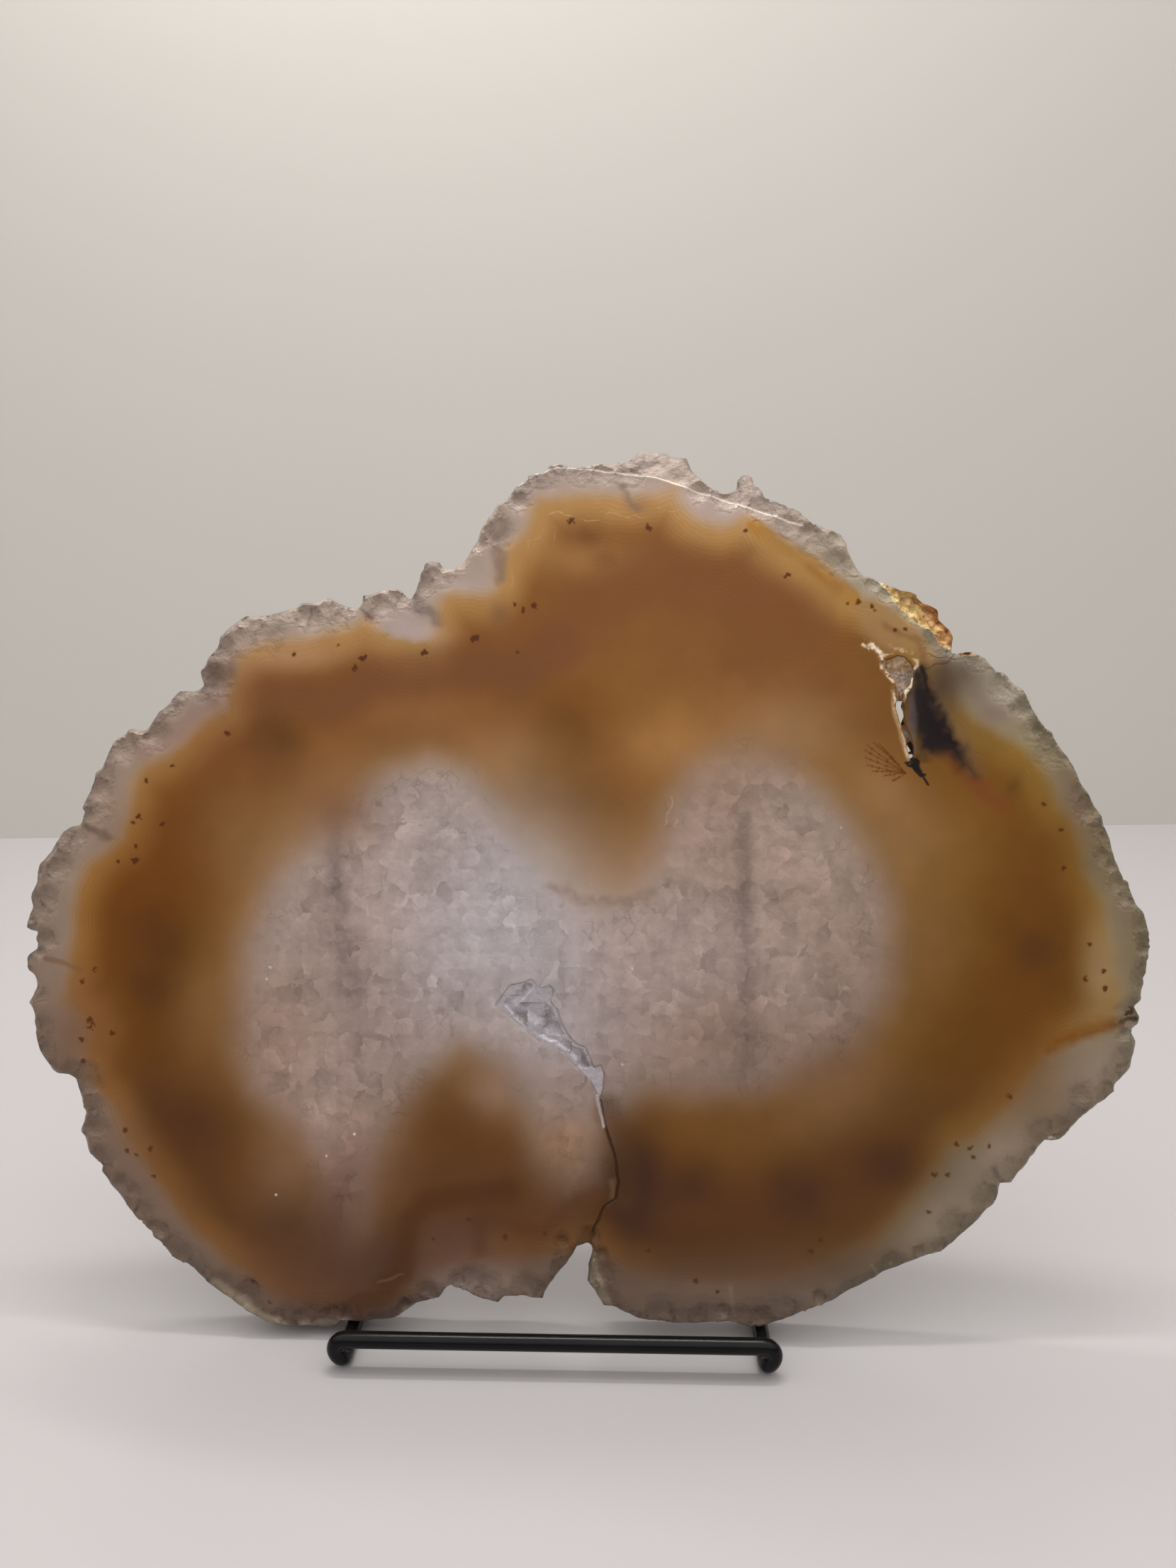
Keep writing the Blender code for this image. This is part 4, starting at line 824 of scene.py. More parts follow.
    def crust(self, u: Array, v: Array, near: Array) -> Array:
        """Display colours of the crust: pale broken edge, pale yellow above, orange-brown below, in crumbs.

        Args:
            u, v: the points.
            near: their distances to the crust's edge.

        Returns:
            One row of red, green and blue from 0 to 255 for each point.
        """
        crumbs = 0.5 + 0.5 * layered(u, v, 1.5, 46)
        rusty = smooth(76 - u - 0.55 * (v - 146) + 8 * crumbs, 8.0, -2.0)
        tone = mixed(self.crust_pale, self.crust_rust, rusty)
        tone = mixed(tone, self.crust_grey, 0.7 * smooth(u - 0.3 * (v - 140), 78.5, 81.0))
        tone = mixed(tone, self.crust_break, 0.75 * (1 - smooth(near, 0.2, 0.9)) * smooth(crumbs, 0.3, 0.6))
        return tone * (0.74 + 0.32 * crumbs)[:, None]


# ---- shapes ----


@dataclass
class Shell:
    """A mesh under construction: points in metres, triangles or quads, and values kept at the points."""

    points: Array
    faces: list[Array]
    values: dict[str, Array] = field(default_factory=dict)

    def build(self, name: str, soft_below: float | None = 40.0) -> bpy.types.Object:
        """Makes the object at the origin, with its attributes and its shading.

        Args:
            name: the piece's name.
            soft_below: edges that turn less than this many degrees are smooth; None shades every face flat.

        Returns:
            The finished object, linked to the scene.
        """
        mesh = bpy.data.meshes.new(name)
        sides = np.concatenate([np.full(len(block), block.shape[1]) for block in self.faces])
        corners = np.concatenate([block.ravel() for block in self.faces]).astype(np.int32)
        mesh.vertices.add(len(self.points))
        mesh.vertices.foreach_set("co", self.points.astype(np.float32).ravel())
        mesh.loops.add(len(corners))
        mesh.loops.foreach_set("vertex_index", corners)
        mesh.polygons.add(len(sides))
        mesh.polygons.foreach_set("loop_start", np.concatenate([[0], np.cumsum(sides)[:-1]]).astype(np.int32))
        mesh.update(calc_edges=True)
        mesh.validate()
        for key, value in self.values.items():
            kind, channel = ("FLOAT_COLOR", "color") if value.ndim == 2 else ("FLOAT", "value")
            layer = mesh.attributes.new(key, kind, "POINT")
            layer.data.foreach_set(channel, value.astype(np.float32).ravel())
        rounded = soft_below is not None
        mesh.polygons.foreach_set("use_smooth", np.full(len(mesh.polygons), rounded))
        if rounded:
            mesh.set_sharp_from_angle(angle=math.radians(soft_below))
        piece = bpy.data.objects.new(name, mesh)
        bpy.context.scene.collection.objects.link(piece)
        return piece


def joined(shells: Sequence[Shell]) -> Shell:
    """Puts several shells into one, with each one's point numbers moved past those before it."""
    starts = np.concatenate([[0], np.cumsum([len(shell.points) for shell in shells])])
    faces = [block + start for shell, start in zip(shells, starts) for block in shell.faces]
    keys = shells[0].values
    values = {key: np.concatenate([shell.values[key] for shell in shells]) for key in keys}
    return Shell(np.concatenate([shell.points for shell in shells]), faces, values)


def triangulated(loops: Sequence[Array], within: Array) -> tuple[Array, Array, list[Array]]:
    """Fills a closed line with triangles, leaving out the holes.

    Every point pair that no third point's circle crosses is joined (Delaunay), and the lines' own
    edges are kept. Triangles whose middle lies outside the first line or inside a later one go.

    Args:
        loops: the outer line, then the holes.
        within: loose points inside.

    Returns:
        The points, the triangles as point numbers, and for each line the numbers of its points.
    """
    counts = [len(loop) for loop in loops]
    starts = np.concatenate([[0], np.cumsum(counts)])
    points = np.vstack([*loops, within])
    edges = [(first + k, first + (k + 1) % count) for first, count in zip(starts, counts) for k in range(count)]
    result = delaunay_2d_cdt([Vector(p) for p in points.tolist()], edges, [], 0, 1e-6, True)
    placed = np.array([tuple(p) for p in result[0]])
    number = np.full(len(points), -1)
    for new, olds in enumerate(result[3]):
        number[olds] = new
    faces = np.array([f for f in result[2] if len(f) == 3])
    middle = placed[faces].mean(axis=1)
    keep = inside(middle[:, 0], middle[:, 1], loops[0])
    for hole in loops[1:]:
        keep &= ~inside(middle[:, 0], middle[:, 1], hole)
    faces = faces[keep]
    a, b, c = (placed[faces[:, k]] for k in range(3))
    turn = (b[:, 0] - a[:, 0]) * (c[:, 1] - a[:, 1]) - (b[:, 1] - a[:, 1]) * (c[:, 0] - a[:, 0])
    faces[turn < 0] = faces[turn < 0][:, ::-1]
    return placed, faces, [number[first : first + count] for first, count in zip(starts, counts)]


def strip(lower: Array, upper: Array) -> Array:
    """Quads between two closed rows of point numbers of the same length."""
    after = np.roll(np.arange(len(lower)), -1)
    return np.column_stack([lower, lower[after], upper[after], upper])


def halved_grid(low: Array, high: Array, coarse: float, wanted: Measure) -> Array:
    """Grid points over a box, where each square is cut in four while it is larger than wanted there.

    Args:
        low, high: the box's corners.
        coarse: side of the first squares.
        wanted: gives the wanted spacing at each point.

    Returns:
        One point a square, moved off its middle by 0.3 of its side at most, so that no rows show,
        and the square's side.
    """
    columns, rows = (np.arange(a, b + coarse, coarse) + coarse / 2 for a, b in zip(low, high))
    u, v = (grid.ravel() for grid in np.meshgrid(columns, rows))
    size, done = coarse, []
    for _ in range(8):
        split = wanted(u, v) < size * 0.75
        done.append((u[~split], v[~split], np.full((~split).sum(), size)))
        if not split.any():
            break
        quarter = size / 4
        u, v = (
            np.concatenate([u[split] + quarter * s for s in (-1, 1, -1, 1)]),
            np.concatenate([v[split] + quarter * s for s in (-1, -1, 1, 1)]),
        )
        size /= 2
    u, v, side = (np.concatenate(part) for part in zip(*done))
    return np.column_stack([*shaken(u, v, side * 0.6, 64, 3), side])


# The vug runs into the stone at a slant: millimetres across and up for each millimetre of depth.
VUG_DRIFT: Point = (0.239, 0.03)


@dataclass
class AgateSlice:
    """The slice: polished face with its hollows, lumpy rind, sawn back and the two slots through it."""

    rim_step: float = 0.62
    face_step: float = 1.3
    back_step: float = 2.4
    slot_step: float = 0.3
    first_square: float = 4.8
    rind_rows: int = 8
    belly: float = 1.7
    bevel_least: float = 0.4
    bevel_most: float = 2.4
    bite_step: float = 2.7
    bite_seed: int = 12
    pocket_depth: float = 1.1
    vug_depth: float = 3.0
    crack_depth: float = 0.35
    paint: StonePaint = StonePaint()

    def __post_init__(self) -> None:
        """Draws the rough outer line once, with the inside on its left."""
        line = anticlockwise(resampled(OUTLINE, self.rim_step, closed=True))
        self.normal = outward_normals(softened(line, 1.0, self.rim_step))
        rough = 0.22 * layered(line[:, 0], line[:, 1], 1.7, 61)
        self.rim = line + self.normal * (rough - 0.2)[:, None]
        self.inner = softened(line, 2.2, self.rim_step) - self.normal * 1.1
        self.bites = self.drawn_bites()

    def drawn_bites(self) -> Array:
        """Places, radii and depths of the shell-like bites along the rim, from a fixed draw."""
        draw = np.random.default_rng(self.bite_seed)
        foot = resampled(self.rim, self.bite_step, closed=True)
        count = len(foot)
        place = foot - outward_normals(foot) * draw.uniform(-1.2, 3.0, count)[:, None]
        place = place + draw.normal(0.0, 0.8, place.shape)
        return np.column_stack([place, draw.uniform(1.5, 4.4, count), draw.uniform(0.5, 1.7, count)])

    def bitten(self, u: Array, v: Array) -> tuple[Array, Array]:
        """Depth of the bites, and how sharply a point stands on a ridge between two of them.

        Each bite is a shallow bowl: depth (1 - (r / radius)^2). The deepest one shows, and the ridge is
        where the second deepest comes close to it.
        """
        best, second = np.zeros(len(u)), np.zeros(len(u))
        for cu, cv, radius, depth in self.bites:
            near = np.flatnonzero((np.abs(u - cu) < radius) & (np.abs(v - cv) < radius))
            bowl = depth * (1.0 - ((u[near] - cu) ** 2 + (v[near] - cv) ** 2) / radius**2)
            second[near] = np.maximum(second[near], np.minimum(bowl, best[near]))
            best[near] = np.maximum(best[near], bowl)
        best, second = best.clip(0.0), second.clip(0.0)
        return best, (1.0 - smooth(best - second, 0.0, 0.16)) * smooth(best, 0.02, 0.25)

    # ---- depth of the polished side ----

    def belly_depth(self, u: Array, v: Array) -> Array:
        """How far behind the polished face the widest line of the rind lies, with soft noise."""
        return self.belly + 0.5 * layered(u, v, 6.0, 71) + 2.0 * smooth(v, 150.0, 160.0)

    def face_depth(self, u: Array, v: Array) -> Array:
        """Depth of the front surface behind the plane of the polish.

        Near the rim it falls by belly (1 - e / w)^1.7, with e the distance to the outer line and w a
        width that noise varies, and shell-like bites are cut in it. Beyond the facet edge it slopes back
        evenly, under the crust it drops in steps, and the pocket, vug and crack are cut by their distances.

        Args:
            u, v: the points.

        Returns:
            The depth, from 0 on the polish.
        """
        edge, along = line_distance(u, v, self.rim[::2], closed=True)
        change = (0.5 + 0.5 * layered(along, along * 0, 9.0, 13)) ** 1.6
        width = self.bevel_least + (self.bevel_most - self.bevel_least) * change
        width = width * (1.0 + 0.5 * smooth(-u, 80, 100))
        fall = np.clip(1.0 - edge / width, 0.0, 1.0)
        lumps = 0.5 + 0.5 * layered(u, v, 2.6, 21)
        depth = self.belly_depth(u, v) * fall**1.7 * (0.75 + 0.5 * lumps)
        bites, _ = self.bitten(u, v)
        depth = np.maximum(depth, np.minimum(bites, 0.25 + 0.4 * edge + 0.6 * bites))
        depth = np.maximum(depth, self.top_slope(u, v))
        depth = np.maximum(depth, self.crust_drop(u, v))
        grain = 0.10 * smooth(depth, 0.1, 0.8) * layered(u, v, 0.9, 77, 2)
        return np.where(edge < 0.02, self.belly_depth(u, v), depth) + grain + self.hollows(u, v)

    def top_slope(self, u: Array, v: Array) -> Array:
        """Depth of the natural surface above the facet edge: 0.25 plus 0.42 of the distance beyond it."""
        line = np.array(FACET_EDGE)
        past = v - np.interp(u, line[:, 0], line[:, 1])
        near, _ = line_distance(u, v, line)
        shown = (u > line[0, 0]) & (u < line[-1, 0]) & (past > 0)
        lumps = 0.5 * layered(u, v, 3.0, 33)
        return np.where(shown, (0.25 + 0.42 * near + lumps) * smooth(near, 0.0, 0.5), 0.0).clip(0.0)

    def beyond_crust_edge(self, u: Array, v: Array) -> tuple[Array, Array]:
        """Distance to the edge beside the ochre crust, and whether points lie outside that edge."""
        near, _ = line_distance(u, v, CRUST_EDGE)
        return near, inside(u, v, (*CRUST_EDGE, (64, 165), (95, 165), (95, 139)))

    def crust_drop(self, u: Array, v: Array) -> Array:
        """Depth of the crumbly crust: 1.3 plus 0.45 of the distance to its edge, with coarse and fine crumbs."""
        near, outside = self.beyond_crust_edge(u, v)
        crumbs = 0.7 * layered(u, v, 1.8, 44) + 0.5 * layered(u, v, 0.7, 45, 2)
        return np.where(outside, ((1.3 + 0.45 * near) + crumbs) * smooth(near, 0.0, 0.45), 0.0).clip(0.0)

    def pocket_floor(self, u: Array, v: Array) -> Array:
        """Depth of the middle pocket: its full depth 1.7 inside its line, 0 at the line."""
        return only_near(
            u, v, POCKET, 0.5, lambda pu, pv: self.pocket_depth * smooth(signed_distance(pu, pv, POCKET), -0.1, 1.7)
        )

    def vug_floor(self, u: Array, v: Array) -> Array:
        """Depth of the narrow vug: its full depth 0.75 inside its mouth, and a third less at its top."""

        def deep(pu: Array, pv: Array) -> Array:
            gap = signed_distance(pu, pv, VUG_MOUTH)
            return self.vug_depth * smooth(gap, -0.05, 0.75) * (1.0 - 0.35 * smooth(pv, 133.0, 137.5))

        return only_near(u, v, VUG_MOUTH, 0.5, deep)

    def crack_groove(self, u: Array, v: Array) -> Array:
        """Depth of the crack: a groove 0.35 to each side, wider and softer at its foot."""

        def deep(pu: Array, pv: Array) -> Array:
            gap, _ = line_distance(pu, pv, CRACK)
            wide = 0.16 + 0.25 * smooth(-pv, -22.0, -15.0)
            return self.crack_depth * (1.0 - smooth(gap, wide * 0.3, wide * 2.2))

        return only_near(u, v, CRACK, 3.0, deep)

    def hollows(self, u: Array, v: Array) -> Array:
        """All that is sunk in the polish: the deepest of the pocket, the vug and the crack."""
        return np.maximum(np.maximum(self.pocket_floor(u, v), self.vug_floor(u, v)), self.crack_groove(u, v))

    # ---- spacing of the points ----

    def wanted_step(self, u: Array, v: Array) -> Array:
        """Spacing that the surface asks for: fine at hollows, grains and lines, wider away from them."""
        edge, _ = line_distance(u, v, self.rim[::3], closed=True)
        step = np.clip(0.6 + 0.16 * (edge - 2.5), 0.6, self.face_step)

        def refine(line: Drawn, reach: float, least: float, slope: float, free: float) -> None:
            """Asks for the least spacing up to free from a line, and for slope more a millimetre beyond."""
            near = box_near(u, v, line, reach)
            if near.any():
                gap, _ = line_distance(u[near], v[near], line)
                step[near] = np.minimum(step[near], least + slope * np.clip(gap - free, 0.0, None))

        hollows = ((POCKET, 0.4, 1.6), (CRACK, 0.28, 1.0), (VUG_MOUTH, 0.22, 1.2), (CRUST_EDGE, 0.4, 2.5))
        for line, least, free in hollows:
            refine(line, 8.0, least, 0.3, free)
        for shape in STROKES:
            if shape.edge < 0.7:
                refine(shape.line, 4.0, 0.22, 0.4, 0.5)
        for cu, cv, radius in SPECKS + FLECKS:
            near = box_near(u, v, ((cu, cv),), 4.0)
            gap = np.hypot(u[near] - cu, v[near] - cv)
            step[near] = np.minimum(step[near], 0.22 + 0.4 * np.clip(gap - radius - 0.3, 0.0, None))
        iron = (u > 61.8) & (u < 76.6) & (v > 111) & (v < 121.3)
        return np.where(iron, np.minimum(step, 0.14), step)

    # ---- building ----

    def rim_row(self, share: float) -> tuple[Array, Array]:
        """One row of the rind between its widest line (share 0) and the back face (share 1).

        The row moves from the outer line to a softened one inside it by 0.2 s + 0.8 s^4, and dents
        by noise along and across the rind. Its depth runs evenly from the belly to the back.

        Args:
            share: how far towards the back.

        Returns:
            The row's points on the plane, and their depths.
        """
        deep = self.belly_depth(*self.rim.T)
        deep = deep + (PLANE.thickness - deep) * share
        dent = 0.55 * (0.5 + 0.5 * layered(self.rim[:, 0] + 3 * deep, self.rim[:, 1] - 3 * deep, 3.4, 91))
        row = self.rim + (self.inner - self.rim) * (0.2 * share + 0.8 * share**4)
        return row - self.normal * (dent * math.sin(math.pi * share))[:, None], deep

    def values_at(self, u: Array, v: Array, depth: Array, front: bool) -> dict[str, Array]:
        """Colour and finish values for points of the slice.

        Args:
            u, v, depth: the points.
            front: whether they belong to the polished side, where the hollows are.

        Returns:
            stone_colour in linear light, and crackle, seams, clear, polish, band and crust as numbers.
        """
        paint, none = self.paint, np.zeros(len(u))
        share, deep = paint.quartz_share(u, v)
        band = paint.band(u, v)
        near, outside = self.beyond_crust_edge(u, v)
        crust = np.where(outside, smooth(near, 0.15, 0.6), 0.0)
        tone = mixed(paint.colour(u, v), paint.crust(u, v, near), crust)
        hollow = self.hollows(u, v) if front else none
        sunk = smooth(hollow, 0.15, 0.9)
        vug = smooth(self.vug_floor(u, v), 0.4, 1.6) if front else none
        tone = mixed(tone, paint.vug_wall, 0.9 * vug)
        edge, _ = line_distance(u, v, self.rim[::2], closed=True)
        _, ridge = self.bitten(u, v)
        natural = smooth(depth - hollow, 0.08, 0.4) * (1 - crust)
        tone = tone * (1 - 0.25 * natural * ridge)[:, None]
        tone = tone * (1 + 0.10 * natural * layered(u, v, 1.6, 83))[:, None]
        # Darker along the outline, in stretches broken up by noise.
        dark_outline = (1 - smooth(edge, 0.15, 0.8)) * smooth(layered(u, v, 2.5, 87), -0.6, 0.3) * (1 - crust)
        tone = mixed(tone, paint.outline_tone, 0.65 * dark_outline)
        light = (linear(tone) - paint.veil).clip(0.0015) * (paint.gain * (1 + 0.07 * share))[:, None]
        cloudy = (1 - smooth(v, 42.0, 80.0)) * (1 - smooth(u, -38.0, -20.0))
        clear = 0.14 + 0.42 * share * (1 - 0.75 * cloudy) + 0.28 * smooth(-band, -1.0, 3.0) + 0.1 * natural
        face = smooth(-depth + hollow, -0.35, -0.05) if front else none
        return {
            "stone_colour": np.column_stack([light, np.ones(len(u))]),
            "crackle": smooth(deep, -3.0, 9.0) * (1 - sunk),
            "seams": smooth(deep, -4.0, 2.0) * (1 - 0.85 * smooth(deep, 6.0, 15.0)) * (1 - sunk),
            "clear": clear * (1 - crust) * (1 - STAIN.weight(u, v)),
            "polish": face * (1 - sunk) * (1 - crust),
            "band": band,
            "crust": crust,
        }

    def filled(self, loops: Sequence[Array], wanted: Measure) -> tuple[Array, Array, list[Array]]:
        """Fills the outer line less the holes with triangles, with points as close together as wanted."""
        loose = halved_grid(self.rim.min(axis=0), self.rim.max(axis=0), self.first_square, wanted)
        return triangulated(loops, self.clear_of(loose, loops))

    def build(self) -> bpy.types.Object:
        """Makes the slice: filled front, rows of rind, filled back, and walls through the slots."""
        holes = [resampled(slot, self.slot_step, closed=True) for slot in (UPPER_SLOT, LOWER_SLOT)]
        front, front_faces, front_rings = self.filled([self.rim, *holes], self.wanted_step)
        front_depth = self.face_depth(*front.T)
        front_depth[front_rings[0]] = self.belly_depth(*self.rim.T)
        *middle, (back_ring, _) = [self.rim_row(share) for share in np.linspace(0.0, 1.0, self.rind_rows)[1:]]
        back, back_faces, back_rings = self.filled([back_ring, *holes], lambda u, v: np.full(len(u), self.back_step))
        points = [front, *[row for row, _ in middle], back]
        depths = [front_depth, *[deep for _, deep in middle], np.full(len(back), PLANE.thickness)]
        starts = np.concatenate([[0], np.cumsum([len(part) for part in points])])
        behind = starts[-2]
        rings = [front_rings[0], *[np.arange(len(row)) + start for (row, _), start in zip(middle, starts[1:])]]
        rings.append(back_rings[0] + behind)
        faces = [front_faces, (back_faces + behind)[:, ::-1]]
        faces += [strip(near, far)[:, ::-1] for near, far in zip(rings, rings[1:])]
        faces += [strip(near, far + behind)[:, ::-1] for near, far in zip(front_rings[1:], back_rings[1:])]
        flat, deep = np.vstack(points), np.concatenate(depths)
        is_front = np.arange(len(flat)) < len(front)
        sides = ((is_front, True), (~is_front, False))
        kept = [self.values_at(*flat[part].T, deep[part], side) for part, side in sides]
        values = {key: np.concatenate([side[key] for side in kept]) for key in kept[0]}
        log.info("slice: %d points, %d triangles in front, %d behind", len(flat), len(front_faces), len(back_faces))
        aside = self.vug_floor(*flat.T) * is_front
        for ring in back_rings[1:]:
            aside[ring + behind] = PLANE.thickness
        flat = flat + aside[:, None] * np.array(VUG_DRIFT)
        return Shell(PLANE.place(*flat.T, deep), faces, values).build("polished_slice")

    def clear_of(self, loose: Array, loops: Sequence[Array]) -> Array:
        """Loose points inside the outer line and outside the holes, clear of each line.

        Args:
            loose: points, with the side of each one's square.
            loops: the outer line, then the holes.

        Returns:
            The points that are left.
        """
        u, v, side = loose.T
        keep = inside(u, v, loops[0])
        for number, loop in enumerate(loops):
            u, v, side = u[keep], v[keep], side[keep]
            gap, _ = line_distance(u, v, loop, closed=True)
            if number == 0:
                keep = gap > 0.45 * np.minimum(side, self.rim_step * 1.2)
            else:
                keep = (gap > 0.08) & ~inside(u, v, loop)
        return np.column_stack([u[keep], v[keep]])


# ---- crystals ----


@dataclass
class CrystalBed:
    """A crust of small quartz points in a hollow: the highest of many six-sided cones at every place."""

    name: str
    loops: tuple[Line, ...]
    floor: Measure
    colour: Callable[[Array, Array, Array], Array]
    least: float
    sizes: Point
    spacing: float
    rise: float
    steep: float
    sunk: float = 0.35
    drift: Point = (0.0, 0.0)
    step: float = 0.24
    seed: int = 5

    def cones(self, u: Array, v: Array, loop: Array) -> Array:
        """Height of the crystals over their bed.

        Each crystal's height is its tip less steep times the six-sided distance from its foot,
        plus a lean that differs from crystal to crystal; the highest one shows.

        Args:
            u, v: the points.
            loop: the line round the bed.

        Returns:
            Heights above the bed, from 0.
        """
        draw = np.random.default_rng(self.seed)
        low, high = loop.min(axis=0) - 1, loop.max(axis=0) + 1
        columns, rows = (np.arange(a, b, self.spacing) for a, b in zip(low, high))
        feet = np.stack(np.meshgrid(columns, rows), axis=-1).reshape(-1, 2)
        feet = feet + draw.uniform(-0.5, 0.5, feet.shape) * self.spacing
        tips = self.rise * draw.uniform(0.35, 1.0, len(feet))
        turns = draw.uniform(0.0, math.pi / 3, len(feet))
        leans = draw.normal(0.0, 0.3, feet.shape)
        scale = draw.uniform(*self.sizes, len(feet))
        best = np.full(len(u), -9.0)
        for foot, tip, turn, lean, size in zip(feet, tips, turns, leans, scale):
            near = (np.abs(u - foot[0]) < 3.5) & (np.abs(v - foot[1]) < 3.5)
            du, dv = u[near] - foot[0], v[near] - foot[1]
            angles = turn + np.arange(6) * math.pi / 3
            out = np.max(np.outer(du, np.cos(angles)) + np.outer(dv, np.sin(angles)), axis=1)
            height = tip - self.steep * np.maximum(out - 0.25 * size, 0.0) / size + lean[0] * du + lean[1] * dv
            best[near] = np.maximum(best[near], height)
        return best.clip(0.0)

    def inner_points(self, ring: Array) -> Array:
        """Loose points inside the bed, a step apart and each moved a little, clear of its line."""
        columns, rows = (np.arange(a, b, self.step) for a, b in zip(ring.min(axis=0), ring.max(axis=0)))
        u, v = (grid.ravel() for grid in np.meshgrid(columns, rows))
        u, v = shaken(u, v, self.step * 0.4, 50, 8)
        keep = signed_distance(u, v, ring) > 0.6 * self.step
        return np.column_stack([u[keep], v[keep]])

    def crust(self, line: Line) -> Shell:
        """One closed crust within a drawn line: crystals above, an even underside in the stone."""
        ring = anticlockwise(resampled(line, self.step, closed=True))
        flat, faces, rings = triangulated([ring], self.inner_points(ring))
        u, v = flat.T
        gap = np.abs(signed_distance(u, v, ring))
        tall = self.cones(u, v, ring)
        bed = self.floor(u, v) + self.sunk
        top = np.minimum(np.maximum(bed - tall * smooth(gap, 0.0, 0.8), self.least), bed)
        au, av = self.drift
        points = [PLANE.place(u + au * deep, v + av * deep, deep) for deep in (top, bed + 0.35)]
        sides = strip(rings[0], rings[0] + len(flat))[:, ::-1]
        shown = np.column_stack([linear(self.colour(u, v, tall)), np.ones(len(u))])
        blocks = [faces, (faces + len(flat))[:, ::-1], sides]
        return Shell(np.vstack(points), blocks, {"stone_colour": np.vstack([shown, shown])})

    def build(self) -> bpy.types.Object:
        """Makes one closed crust for each line, all in one piece."""
        return joined([self.crust(line) for line in self.loops]).build(self.name, soft_below=None)


# ---- the stand ----


